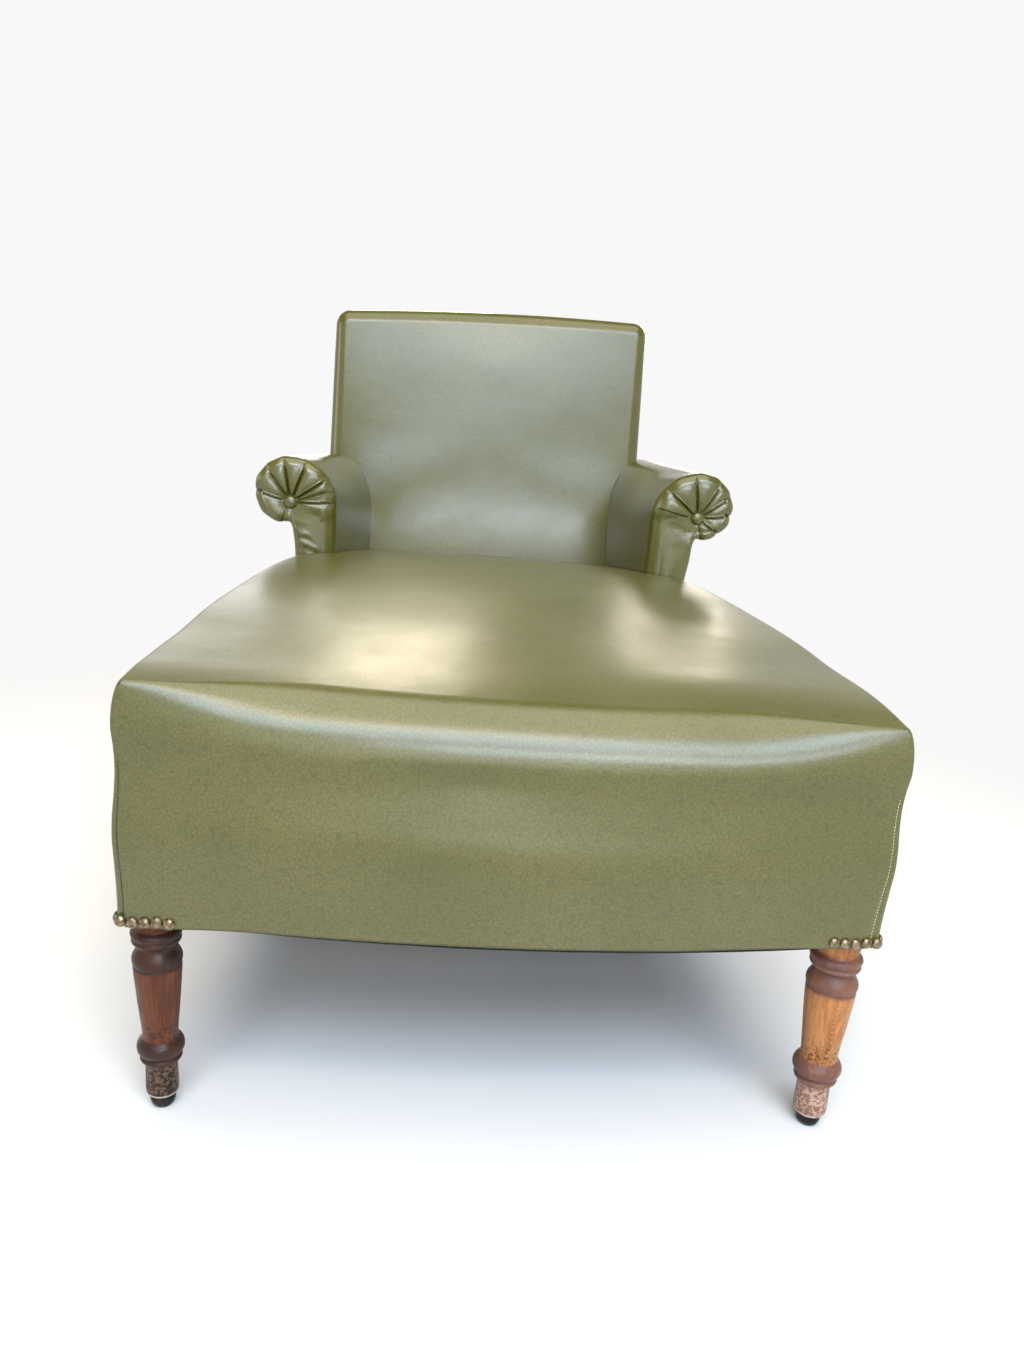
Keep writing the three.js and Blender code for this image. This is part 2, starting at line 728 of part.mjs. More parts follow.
function addSpringing() {
  addPiece('seat_webbing', seatWebbing(), webCloth);
  springRowPlaces.forEach((y, i) => {
    const spacing = y > wellBreak ? narrowSpringSpacing : springSpacing;
    addPiece(`spring_row_${i + 1}`, springRow(y, spacing), springSteel);
  });
  const hessianTop = springSeatTop - fitGap;
  const hessian = addAll(wellPieces(fitGap, hessianTop - hessianThickness, hessianTop));
  addPiece('seat_hessian', toGeometry(hessian), hessianCloth);
}

// Upholstery

function belowRear(bottomOfTuck) {
  const half = frontHalfWidth + overrun;
  return toSolid(box(point(-half, armStart - fitGap, -overrun), point(half, backTopRear, bottomOfTuck)));
}

// The space that an arm takes from the seat, grown by gap
function armZone(gap, bottom) {
  const front = armStart - gap;
  const far = frontHalfWidth + overrun;
  const ring = (z) => [
    point(armInnerLine(front) - gap, front, z), point(far, front, z),
    point(far, armEnd, z), point(armInnerLine(armEnd) - gap, armEnd, z),
  ];
  return loft([ring(bottom), ring(couchHeight)]);
}

// What stands behind and beside the rear of the seat, from bottom up, grown outward by gap
function seatNeighbours(gap, bottom) {
  const arm = armZone(gap, bottom);
  const back = backBlock(-gap, -overrun).subtract(below(bottom));
  return [toSolid(arm), toSolid(mirrored(arm)), back, behindRearPlane(backThickness / 2)];
}

function addSeatUpholstery() {
  const outside = subtractAll(seatBlock(0, coverBottom), [
    ...seatNeighbours(fitGap, tuckBottom), belowRear(tuckBottom)]);
  const inside = subtractAll(
    seatBlock(coverThickness, coverBottom - overrun), seatNeighbours(skin, tuckBottom));
  addPiece('seat_cover', toGeometry(outside.subtract(inside)), vinyl);
  const low = upholsteryRoot;
  const cutters = [
    ...seatNeighbours(skin + fitGap, low), below(tuckBottom), ...wellPieces(0, low, springSeatTop),
  ];
  addPiece('seat_stuffing', toGeometry(subtractAll(seatBlock(skin, low), cutters)), stuffingFibre);
}

const armPostTop = armRollHeight - armBoardThickness / 2 - fitGap;

function armPost(grow) {
  const level = (z) => ({
    z,
    front: armStart + armPostSetback - grow,
    rear: armStart + armPostSetback + armPostDepth + grow,
    outer: skin + railThickness + fitGap - grow,
    inner: skin + railThickness + fitGap + armPostWidth + grow,
  });
  return sidePlank([level(railBottom + fitGap - grow), level(armPostTop + grow)]);
}

function armBoard(grow) {
  const bottom = armPostTop + fitGap;
  const level = (z) => ({
    z,
    front: armStart + armPostSetback - grow,
    rear: rearPlane(z) - frameDepth - fitGap + grow,
    outer: -armBoardReach - grow,
    inner: armBoardInset + grow,
  });
  return sidePlank([level(bottom - grow), level(bottom + armBoardThickness + grow)]);
}

// Behind the face of the back, the arm keeps only its roll, outside the back
function lowBehindBack(top) {
  const half = frontHalfWidth + overrun;
  const ring = (z) => [
    point(-half, rearPlane(z) - backThickness, z), point(half, rearPlane(z) - backThickness, z),
    point(half, backTopRear + overrun, z), point(-half, backTopRear + overrun, z),
  ];
  return solidLoft([ring(-overrun), ring(top)]);
}

function armPanel() {
  const ring = (z) => {
    const front = armStart + fitGap;
    const rear = rearPlane(z) - skin;
    return [
      point(armPanelLine(front, z) - coverThickness, front, z), point(armPanelLine(front, z), front, z),
      point(armPanelLine(rear, z), rear, z), point(armPanelLine(rear, z) - coverThickness, rear, z),
    ];
  };
  return loft([ring(coverBottom), ring(railTop), ring(armPanelTop)]);
}

function armButton() {
  const seat = armStart + buttonSink - fitGap;
  const outline = buttonShares.map(([out, up]) => new THREE.Vector2(out * buttonRadius, up * buttonHeight));
  return new THREE.LatheGeometry(outline, buttonSides).rotateX(Math.PI)
    .translate(armRollLine(armStart), seat, armRollHeight);
}

function addArms() {
  const backRoom = backBlock(-fitGap, -overrun);
  const atBack = backRoom.add(toSolid(mirrored(toGeometry(backRoom))));
  const outside = subtractAll(armBlock(0), [
    behindRearPlane(skin), atBack, lowBehindBack(armPanelTop + fitGap), below(tuckBottom)]);
  const inside = armBlock(coverThickness).subtract(behindRearPlane(skin + coverThickness));
  addPair('arm_cover', toGeometry(outside.subtract(inside)), vinyl);
  const stuffing = subtractAll(armBlock(skin), [
    behindRearPlane(skin + skin), atBack, lowBehindBack(armPanelTop + skin + fitGap), below(tuckBottom),
    toSolid(armPost(fitGap)), toSolid(armBoard(fitGap)),
  ]);
  addPair('arm_stuffing', toGeometry(stuffing), stuffingFibre);
  addPair('arm_post', armPost(0), frameTimber);
  addPair('arm_board', armBoard(0), frameTimber);
  addPair('outside_arm_panel', armPanel(), vinyl);
}

function outsideBackCover() {
  const outline = backOutline(fitGap, armPanelTop).filter(({ z }) => z > armRollHeight);
  const flare = [armPanelTop, railTop, coverBottom].map((z) => ({ x: armPanelLine(rearPlane(z), z), z }));
  const left = flare.map(({ x, z }) => ({ x: -x, z }));
  const ring = [...outline, ...left, ...[...flare].reverse()];
  return loft([0, coverThickness].map((depth) =>
    ring.map(({ x, z }) => point(x, rearPlane(z) - depth, z))), 'y');
}

function backWebbing() {
  const depth = frameDepth + fitGap;
  const half = webWidth / 2;
  const reach = backHalfWidth - skin - fitGap;
  const lowZ = backStayBottom;
  const highZ = postTop - fitGap;
  const strap = (lowX, highX, bottom, top) => {
    const ring = (z) => {
      const rear = rearPlane(z) - depth;
      const front = rear - webThickness;
      return [point(lowX, front, z), point(highX, front, z), point(highX, rear, z), point(lowX, rear, z)];
    };
    return solidLoft([ring(bottom), ring(top)]);
  };
  const upright = [-1, 0, 1].map((i) =>
    strap(i * longWebPitch - half, i * longWebPitch + half, lowZ, highZ));
  const level = backLevelWebShares.map((share) => mix(lowZ, highZ, share))
    .map((z) => strap(-reach, reach, z - half, z + half));
  return toGeometry(addAll([...upright, ...level]));
}

function addBackUpholstery() {
  const board = armBoard(fitGap);
  const post = backPost(fitGap);
  const frame = [board, mirrored(board), post, mirrored(post)].map(toSolid);
  const cover = subtractAll(backBlock(0, skin), [
    backBlock(coverThickness, -overrun), below(tuckBottom), ...frame]);
  addPiece('inside_back_cover', toGeometry(cover), vinyl);
  const stuffingRear = frameDepth + webThickness + fitGap * 2;
  const stuffing = subtractAll(backBlock(skin, stuffingRear), [below(tuckBottom), ...frame]);
  addPiece('back_stuffing', toGeometry(stuffing), stuffingFibre);
  addPiece('back_webbing', backWebbing(), webCloth);
  addPiece('outside_back_cover', outsideBackCover(), vinyl);
}

function addDustCover() {
  const low = coverBottom + dustCoverLift;
  const plan = seatStations().map((station) => seatPlanPoint(station, dustCoverInset, seatBow));
  const sheet = solidLoft([low, low + dustCoverThickness].map((z) =>
    plan.map(({ x, y }) => point(x, y, z))));
  const legRoom = legBlock / 2 + dustCoverLegRoom;
  const front = box(point(legX - legRoom, legY - legRoom - overrun, -overrun),
    point(legX + legRoom + overrun, legY + legRoom, low + overrun));
  const rear = backPost(dustCoverPostRoom);
  const cutters = [front, mirrored(front), rear, mirrored(rear)].map(toSolid);
  const trimmed = subtractAll(sheet, [...cutters, behindRearPlane(skin + webInset)]);
  addPiece('dust_cover', toGeometry(trimmed), dustCloth);
}

// Nails: a row of domed heads that touch, set on the cover over a front leg

function nailHead() {
  const outline = nailHeadShares.map(([out, up]) => new THREE.Vector2(out * nailRadius, up * nailHeight));
  return new THREE.LatheGeometry(outline, nailSides);
}

function nailRow(placeAt) {
  const heads = Array.from({ length: nailsPerRow }, (unused, i) => {
    const { x, y, turn } = placeAt((i - (nailsPerRow - 1) / 2) * nailPitch);
    return toSolid(nailHead().rotateX(Math.PI).rotateZ(turn).translate(x, y, nailRowHeight));
  });
  return toGeometry(addAll(heads));
}

function addNails() {
  const frontRow = nailRow((along) => {
    const x = legX + along;
    const across = x / frontHalfWidth;
    const slope = (2 * seatBow * across) / frontHalfWidth;
    const turn = Math.atan(slope);
    const surface = -seatBow * (1 - across ** 2);
    return { x: x + fitGap * Math.sin(turn), y: surface - fitGap * Math.cos(turn), turn };
  });
  addPair('front_nail_row', frontRow, antiqueBrass);
  const sideTurn = Math.PI / 2 + Math.atan((frontHalfWidth - armHalfWidth) / armStart);
  const sideRow = nailRow((along) => {
    const y = legY + along;
    return { x: sideLine(y) + fitGap, y, turn: sideTurn };
  });
  addPair('side_nail_row', sideRow, antiqueBrass);
}

addFrame();
addLegs();
addSpringing();
addSeatUpholstery();
addArms();
addPair('arm_button', armButton(), vinyl);
addBackUpholstery();
addDustCover();
addNails();

// Centre the couch over its own box
const extent = new THREE.Box3().setFromObject(couch);
couch.position.set(0, -(extent.min.y + extent.max.y) / 2, 0);

export default couch;
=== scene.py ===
"""Looks of the fainting couch: olive vinyl over a sprung seat, a raked back and two pleated scroll arms,
on turned front legs and raked rear legs.

Sizes are millimetres in the couch's own frame, where Y = 0 is the line through the two front corners,
X runs across with the right hand side at +X, and Z is up. to_frame() turns them into the frame's metres.
"""

import math
from dataclasses import dataclass

import bmesh
import bpy
import numpy as np
from mathutils import Matrix, Vector


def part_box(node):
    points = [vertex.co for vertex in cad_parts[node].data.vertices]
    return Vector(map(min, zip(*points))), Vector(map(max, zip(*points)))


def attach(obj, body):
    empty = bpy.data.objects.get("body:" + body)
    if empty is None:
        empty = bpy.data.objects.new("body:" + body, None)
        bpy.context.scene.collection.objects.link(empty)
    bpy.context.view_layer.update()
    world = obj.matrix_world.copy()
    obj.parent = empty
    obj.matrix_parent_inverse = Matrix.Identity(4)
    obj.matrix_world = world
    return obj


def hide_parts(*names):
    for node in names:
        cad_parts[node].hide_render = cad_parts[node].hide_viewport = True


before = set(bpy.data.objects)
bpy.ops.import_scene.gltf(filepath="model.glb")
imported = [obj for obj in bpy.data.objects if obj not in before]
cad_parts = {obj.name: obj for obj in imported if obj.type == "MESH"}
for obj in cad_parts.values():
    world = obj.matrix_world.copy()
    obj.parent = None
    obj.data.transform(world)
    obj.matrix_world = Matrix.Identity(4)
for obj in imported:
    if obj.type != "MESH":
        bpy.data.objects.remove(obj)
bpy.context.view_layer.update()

MM = 0.001
QUARTER = math.pi / 2

# Seat, over its cover
FRONT_HALF_WIDTH = 365
ARM_HALF_WIDTH = 336
ARM_START = 804
SEAT_LENGTH = 1150
SEAT_BOW = 33
EDGE_BOW = 24
COVER_BOTTOM = 221
RAIL_TOP = 308
EDGE_ROLL = 45
FRONT_ROLL_DEPTH = 50
FRONT_ROLL_HEIGHT = 52
FRONT_ROLL_END = math.radians(7)
CORNER_DRAW_IN = 9
CORNER_REACH = 180
SEAT_BACK_HEIGHT = 409
SEAT_CROWN = 69
TUCK_BOTTOM = 330
ARM_TUCK = 9
BACK_TUCK = 14
# The gap left between two covers
CLEAR = 0.6

# Back, over its cover
COUCH_HEIGHT = 871
BACK_HALF_WIDTH = 303
BACK_RISE = 8
BACK_CORNER = 26
BACK_THICKNESS = 88
BACK_EDGE = 22
BACK_SWELL = 20
BACK_RAKE = 0.196
BACK_TOP_REAR = 1337
# How far the timber lies under the outside of the covers
SKIN = 2.8
COVER_THICKNESS = 2.2
ARM_COVER_THICKNESS = 1.8

# Arms
INNER_FRONT = 258
INNER_BACK = 236
PANEL_TOP = 494
PANEL_LEAN = 13

# Legs, glides and nails
LEG_X = 337
LEG_Y = 31
LEG_BLOCK = 46
GLIDE_HEIGHT = 12
REAR_FOOT_KICK = 38
REAR_FOOT = 27
POST_WIDTH = 38
POST_DEPTH = 40
POST_TOP = 826
POST_LEAN_TOP = 470
NAIL_RADIUS = 6
NAIL_HEIGHT = 4.2
NAIL_PITCH = 11.5
NAILS_PER_ROW = 5
NAIL_RINGS = 9

leg_low, leg_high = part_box("right_front_leg")
FRAME_SHIFT = (leg_low.y + leg_high.y) / 2 / MM - LEG_Y


def to_frame(points):
    """Millimetres in the couch's own frame as metres in the shared frame."""
    return (np.asarray(points, float) + (0, FRAME_SHIFT, 0)) * MM


def mix(low, high, share):
    return low + (high - low) * share


def smooth(value, low, high):
    share = np.clip((np.asarray(value, float) - low) / (high - low), 0, 1)
    return share * share * (3 - 2 * share)


def bell(value):
    return np.exp(-value ** 2)


def dented(x, y, dents):
    """The depth at x, y of soft dents, each given as its place, its reach both ways and its depth."""
    depth = 0.0
    for centre_x, centre_y, reach_x, reach_y, deep in dents:
        depth = depth + deep * bell((x - centre_x) / reach_x) * bell((y - centre_y) / reach_y)
    return depth


def hand(side):
    return "right" if side > 0 else "left"


def disc_from_square(a, b):
    """Bends the corner of a unit square into an arc."""
    return a * np.sqrt(1 - b * b / 2), b * np.sqrt(1 - a * a / 2)


def curve_through(places, values):
    """A smooth function of place through given values."""
    places = np.asarray(places, float)
    values = np.asarray(values, float)
    slopes = np.gradient(values, places)

    def at(place):
        place = np.clip(place, places[0], places[-1])
        i = np.clip(np.searchsorted(places, place) - 1, 0, len(places) - 2)
        width = places[i + 1] - places[i]
        t = (place - places[i]) / width
        low = values[i] * (1 + 2 * t) * (1 - t) ** 2 + slopes[i] * width * t * (1 - t) ** 2
        high = values[i + 1] * t * t * (3 - 2 * t) + slopes[i + 1] * width * t * t * (t - 1)
        return low + high

    return at


# Reference lines of the couch


def side_line(y):
    return mix(FRONT_HALF_WIDTH, ARM_HALF_WIDTH, y / ARM_START)


def rear_plane(z):
    return BACK_TOP_REAR - BACK_RAKE * (COUCH_HEIGHT - z)


def inner_line(y):
    return mix(INNER_FRONT, INNER_BACK, (y - ARM_START) / (SEAT_LENGTH - ARM_START))


def panel_line(y, z):
    return side_line(y) - PANEL_LEAN * np.clip((z - RAIL_TOP) / (PANEL_TOP - RAIL_TOP), 0, 1)


# The crown of the seat along its middle and along its sides: share of the length, share of SEAT_CROWN
CENTRE_PLACE_SHARES = [0, 0.09, 0.20, 0.32, 0.50, 0.60, 0.69, 0.78, 0.87, 1]
CENTRE_SHARES = [0.54, 0.72, 0.86, 0.94, 1, 0.96, 0.78, 0.54, 0.32, 0.0]
EDGE_PLACE_SHARES = [0, 0.045, 0.08, 0.17, 0.25, 0.31, 0.39, 0.48, 0.57, 0.65, 0.78, 0.87, 1]
EDGE_SHARES = [0.60, 0.67, 0.69, 0.70, 0.755, 0.76, 0.74, 0.71, 0.66, 0.58, 0.40, 0.22, -0.05]
centre_share = curve_through(CENTRE_PLACE_SHARES, CENTRE_SHARES)
edge_share = curve_through(EDGE_PLACE_SHARES, EDGE_SHARES)

# Soft hollows and lumps of the old stuffing: x, y, reach across, reach along, depth
SEAT_HOLLOWS = [
    (-150, 330, 90, 130, 2.0), (140, 260, 110, 120, 1.6), (20, 560, 120, 150, 1.8),
    (-230, 600, 70, 140, 1.6), (210, 640, 80, 120, 1.4), (-60, 110, 120, 50, 1.4),
    (180, 90, 80, 45, -1.3), (-240, 120, 60, 60, 1.2), (40, 400, 60, 60, -1.2),
    (0, 980, 130, 90, -3.0),
]
# How far the front left corner of the seat stands up and the front right one hangs down
CORNER_TILT = 3
CORNER_TILT_REACH = 110


def seat_top(x, y):
    place = np.clip(y / SEAT_LENGTH, 0, 1)
    across = (x / side_line(y)) ** 2
    height = SEAT_BACK_HEIGHT + SEAT_CROWN * mix(centre_share(place), edge_share(place), across)
    tilt = CORNER_TILT * x / FRONT_HALF_WIDTH * (1 - smooth(y, 0, CORNER_TILT_REACH))
    return height - dented(x, y, SEAT_HOLLOWS) - tilt


def back_swell(x, z):
    up = np.clip((z - RAIL_TOP) / (COUCH_HEIGHT - RAIL_TOP), 0, 1)
    # Flatter from side to side just above the seat, where the cover is drawn tight
    power = mix(7, 2, smooth(up, 0.2, 0.6))
    across = np.clip(1 - np.abs(x / BACK_HALF_WIDTH) ** power, 0, 1)
    return BACK_SWELL * across * np.sin(np.pi * up ** 0.6)


def back_face(x, z):
    """The Y of the front of the back cover."""
    over = np.clip((np.abs(x) - (BACK_HALF_WIDTH - BACK_EDGE)) / BACK_EDGE, 0, 1)
    edge = BACK_EDGE * (1 - np.sqrt(1 - over ** 2))
    return rear_plane(z) - BACK_THICKNESS - back_swell(x, z) + edge


# Meshes


def mesh_piece(name, points, faces, material, weld=0.0):
    """A smooth mesh object from points in the couch's own millimetres."""
    mesh = bpy.data.meshes.new(name)
    mesh.from_pydata([tuple(p) for p in to_frame(points)], [], [tuple(f) for f in faces])
    shape = bmesh.new()
    shape.from_mesh(mesh)
    if weld:
        bmesh.ops.remove_doubles(shape, verts=shape.verts, dist=weld * MM)
    bmesh.ops.recalc_face_normals(shape, faces=shape.faces)
    for face in shape.faces:
        face.smooth = True
    shape.to_mesh(mesh)
    shape.free()
    mesh.materials.append(material)
    piece = bpy.data.objects.new(name, mesh)
    bpy.context.scene.collection.objects.link(piece)
    return piece


def grid_faces(rows, columns, around=False, start=0):
    """Four-sided faces between rows of points, closed around each row if asked."""
    faces = []
    for row in range(rows - 1):
        for column in range(columns if around else columns - 1):
            after = (column + 1) % columns
            low = start + row * columns
            faces.append((low + column, low + after, low + columns + after, low + columns + column))
    return faces


def capped_rings(rings, around, start=0, both_ends=True):
    """Faces of a row of rings, closed flat at the first ring or at both ends."""
    faces = grid_faces(rings, around, True, start)
    faces.append(tuple(range(start + around - 1, start - 1, -1)))
    if both_ends:
        last = start + (rings - 1) * around
        faces.append(tuple(range(last, last + around)))
    return faces


def bake_modifiers(piece):
    bpy.context.view_layer.update()
    made = bpy.data.meshes.new_from_object(piece.evaluated_get(bpy.context.evaluated_depsgraph_get()))
    piece.modifiers.clear()
    piece.data = made
    return piece


def thicken(piece, thickness):
    shell = piece.modifiers.new("thickness", "SOLIDIFY")
    shell.thickness = thickness * MM
    shell.offset = -1
    return bake_modifiers(piece)


def bevelled(piece, width):
    edge = piece.modifiers.new("edges", "BEVEL")
    edge.width = width * MM
    edge.segments = 3
    edge.limit_method = "ANGLE"
    return bake_modifiers(piece)


def dress(piece, slot, *nodes, fill=None):
    """The piece rides on the couch and stands for the nodes, which it hides. The slot is not used."""
    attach(piece, "root")
    if nodes:
        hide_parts(*nodes)
    return piece


# Materials


class Nodes:
    """A node tree: each call adds a node and returns its output."""

    def __init__(self, tree):
        self.tree = tree

    def feed(self, socket, value):
        if isinstance(value, bpy.types.NodeSocket):
            self.tree.links.new(value, socket)
        else:
            socket.default_value = value

    def node(self, kind, inputs=None, **settings):
        made = self.tree.nodes.new(kind)
        for name, value in settings.items():
            setattr(made, name, value)
        for key, value in (inputs or {}).items():
            self.feed(made.inputs[key], value)
        return made

    def math(self, operation, first, second=0.0):
        return self.node("ShaderNodeMath", {0: first, 1: second}, operation=operation).outputs[0]

    def times(self, first, *others):
        for other in others:
            first = self.math("MULTIPLY", first, other)
        return first

    def vector(self, operation, first, second, output="Vector"):
        return self.node("ShaderNodeVectorMath", {0: first, 1: second}, operation=operation).outputs[output]

    def part(self, vector, axis):
        return self.node("ShaderNodeSeparateXYZ", {0: vector}).outputs[axis]

    def ranged(self, value, low, high, to_low=0.0, to_high=1.0):
        made = self.node("ShaderNodeMapRange", {
            "Value": value, "From Min": low, "From Max": high, "To Min": to_low, "To Max": to_high},
            interpolation_type="SMOOTHSTEP")
        return made.outputs["Result"]

    def mixed(self, share, first, second):
        return self.node("ShaderNodeMixShader", {0: share, 1: first, 2: second}).outputs[0]


class Look(Nodes):
    """The nodes of a material."""

    def __init__(self, name, roughness, metallic=0.0):
        self.material = bpy.data.materials.new(name)
        self.material.use_nodes = True
        super().__init__(self.material.node_tree)
        self.surface = self.tree.nodes["Principled BSDF"]
        self.set("Roughness", roughness)
        self.set("Metallic", metallic)
        self.place = self.node("ShaderNodeTexCoord").outputs["Object"]

    def set(self, name, value):
        self.feed(self.surface.inputs[name], value)

    def stretched(self, x, y, z, place=None):
        made = self.node("ShaderNodeMapping", {"Vector": place or self.place, "Scale": (x, y, z)})
        return made.outputs["Vector"]

    def noise(self, scale, detail=3.0, roughness=0.5, distortion=0.0, place=None):
        made = self.node("ShaderNodeTexNoise", {
            "Vector": place or self.place, "Scale": scale, "Detail": detail,
            "Roughness": roughness, "Distortion": distortion})
        return made.outputs["Fac"]

    def cells(self, scale, place):
        made = self.node("ShaderNodeTexVoronoi", {"Vector": place, "Scale": scale},
                         feature="DISTANCE_TO_EDGE")
        return made.outputs["Distance"]

    def bent(self, scale, amount):
        """The place pushed about by a noise, so that a pattern laid on it isn't regular."""
        made = self.node("ShaderNodeTexNoise", {"Vector": self.place, "Scale": scale, "Detail": 2.0})
        centred = self.vector("SUBTRACT", made.outputs["Color"], (0.5, 0.5, 0.5))
        pushed = self.vector("MULTIPLY", centred, (amount, amount, amount))
        return self.vector("ADD", self.place, pushed)

    def blend(self, share, first, second):
        made = self.node("ShaderNodeMix", data_type="RGBA")
        self.feed(made.inputs[0], share)
        for socket, value in ((made.inputs[6], first), (made.inputs[7], second)):
            self.feed(socket, value if isinstance(value, bpy.types.NodeSocket) else (*value, 1.0))
        return made.outputs[2]

    def bump(self, height, depth, strength, under=None):
        inputs = {"Height": height, "Distance": depth * MM, "Strength": strength}
        if under is not None:
            inputs["Normal"] = under
        return self.node("ShaderNodeBump", inputs).outputs["Normal"]


OLIVE = (0.098, 0.090, 0.010)
OLIVE_LIGHT = (0.126, 0.113, 0.018)
OLIVE_WORN = (0.120, 0.109, 0.025)
# The colour of painted shade in the creases of the pebble grain
OLIVE_CREASE_SHADE = (0.048, 0.044, 0.008)
SCRATCHED = (0.40, 0.37, 0.24)

# Thin pale scuffs on the flat of the seat, in the frame's metres: an arc's middle and radius, the place
# it crosses and its reach from there
SCUFFS = [
    ((0.05, -0.40, 0), 0.16, (0.03, -0.245, 0), 0.055),
    ((0.19, -0.56, 0), 0.30, (0.10, -0.275, 0), 0.030),
    ((0.30, -0.10, 0), 0.17, (0.15, -0.18, 0), 0.028),
    ((-0.10, -0.02, 0), 0.24, (-0.02, -0.246, 0), 0.022),
    ((0.02, -0.62, 0), 0.33, (0.155, -0.32, 0), 0.016),
]
# Half the width of a scuff, from its clear middle to its faded edge, and how much rougher it is
SCUFF_MIDDLE = 0.0003
SCUFF_EDGE = 0.0011
SCUFF_ROUGHER = 0.2


def scratch_marks(look):
    """1 on the scuffs of the seat's top, broken up along their length."""
    flat = look.vector("MULTIPLY", look.bent(14.0, 0.006), (1.0, 1.0, 0.0))
    marks = None
    for middle, radius, crossing, reach in SCUFFS:
        from_middle = look.vector("DISTANCE", flat, middle, "Value")
        off = look.math("ABSOLUTE", look.math("SUBTRACT", from_middle, radius))
        away = look.vector("DISTANCE", flat, crossing, "Value")
        line = look.times(look.ranged(off, SCUFF_MIDDLE, SCUFF_EDGE, 1.0, 0.0),
                          look.ranged(away, reach * 0.6, reach, 1.0, 0.0))
        marks = line if marks is None else look.math("MAXIMUM", marks, line)
    facing_up = look.part(look.node("ShaderNodeNewGeometry").outputs["Normal"], "Z")
    broken = look.ranged(look.noise(160.0, 2.0), 0.38, 0.55)
    return look.times(marks, broken, look.ranged(facing_up, 0.8, 0.9))


def vinyl_look(name, grain_depth, roughness, gloss, scratched):
    """Old vinyl: clouded olive, with painted shade in the creases between its pebbles."""
    look = Look(name, roughness)
    mottle = look.noise(7.0, 4.0)
    cloud = look.noise(2.3, 2.0)
    base = look.blend(look.ranged(mottle, 0.3, 0.7), OLIVE, OLIVE_LIGHT)
    base = look.blend(look.ranged(cloud, 0.35, 0.65, 0.0, 0.5), base, OLIVE_WORN)
    pebbles = look.cells(250.0, look.bent(120.0, 0.006))
    # Painted shade: the creases between the pebbles are darkened
    base = look.blend(look.ranged(pebbles, 0.0, 0.16, 0.6, 0.0), base, OLIVE_CREASE_SHADE)
    rough = look.ranged(look.noise(18.0, 3.0), 0.3, 0.7, roughness - 0.015, roughness + 0.02)
    if scratched:
        marks = scratch_marks(look)
        base = look.blend(look.times(marks, scratched), base, SCRATCHED)
        rough = look.math("ADD", rough, look.times(marks, SCUFF_ROUGHER))
    look.set("Base Color", base)
    look.set("Roughness", rough)
    look.set("Specular IOR Level", gloss)
    soft = look.bump(look.noise(30.0, 2.0), 1.2, 0.25)
    grain = look.bump(look.ranged(pebbles, 0.0, 0.3), grain_depth, 0.5, soft)
    look.set("Normal", grain)
    return look.material


def wood_grain(look, dark, light, fineness):
    """The grain that runs up the timber, and the colour it gives."""
    run = look.stretched(fineness, fineness, 2.2, look.bent(12.0, 0.012))
    grain = look.noise(6.0, 5.0, 0.6, 0.6, place=run)
    return grain, look.blend(look.ranged(grain, 0.32, 0.68), dark, light)


def with_pores(look, base, dark, strength, shade):
    pores = look.noise(40.0, 2.0, place=look.stretched(30.0, 30.0, 1.6))
    pore_colour = tuple(c * shade for c in dark)
    return look.blend(look.ranged(pores, 0.60, 0.72, 0.0, strength), base, pore_colour)


def finish_wood(look, base, grain, least_rough, dent_strength):
    """Sets the colour, the uneven gloss and the fine dents of a wood."""
    look.set("Base Color", base)
    look.set("Roughness", look.ranged(look.noise(35.0, 3.0), 0.3, 0.7, least_rough, 0.5))
    dents = look.bump(look.noise(45.0, 3.0), 1.0, dent_strength)
    look.set("Normal", look.bump(grain, 0.35, 0.35, dents))
    return look.material


def wood_look(name, dark, light, worn, wear):
    look = Look(name, 0.42)
    grain, base = wood_grain(look, dark, light, 26.0)
    base = with_pores(look, base, dark, 0.6, 0.3)
    edges = look.node("ShaderNodeNewGeometry").outputs["Pointiness"]
    patches = look.ranged(look.noise(60.0, 4.0), 0.35, 0.6)
    base = look.blend(look.times(look.ranged(edges, 0.50, 0.56), patches, wear), base, worn)
    chips = look.ranged(look.noise(150.0, 3.0), 0.64, 0.68)
    base = look.blend(look.times(chips, wear), base, worn)
    # Painted shade: hollows, where Pointiness is low, are darkened
    base = look.blend(look.ranged(edges, 0.42, 0.49, 0.75, 0.0), base, WOOD_HOLLOW_SHADE)
    look.set("Coat Weight", 0.35)
    look.set("Coat Roughness", 0.18)
    return finish_wood(look, base, grain, 0.28, 0.35)


def cloth_look(name, thread, shade, pitch):
    """Plain weave with threads at a pitch in millimetres."""
    look = Look(name, 0.95)
    bands = {"Vector": look.place, "Scale": 1 / (pitch * MM * 6.3), "Distortion": 0.6}
    weave = look.times(*[look.node("ShaderNodeTexWave", bands, bands_direction=run).outputs["Fac"]
                         for run in ("X", "Y")])
    mottled = look.times(look.ranged(look.noise(40.0), 0.3, 0.7, 0.7, 1.0), weave)
    look.set("Base Color", look.blend(mottled, shade, thread))
    look.set("Normal", look.bump(weave, 0.4, 0.6))
    return look.material


def metal_look(name, bright, dark, roughness, scale):
    """Metal with darker, duller patches of tarnish."""
    look = Look(name, roughness, 0.9)
    tarnish = look.noise(scale, 4.0, 0.6)
    look.set("Base Color", look.blend(look.ranged(tarnish, 0.35, 0.65), bright, dark))
    look.set("Roughness", look.ranged(tarnish, 0.3, 0.7, roughness - 0.08, roughness + 0.14))
    look.set("Normal", look.bump(tarnish, 0.2, 0.3))
    return look.material


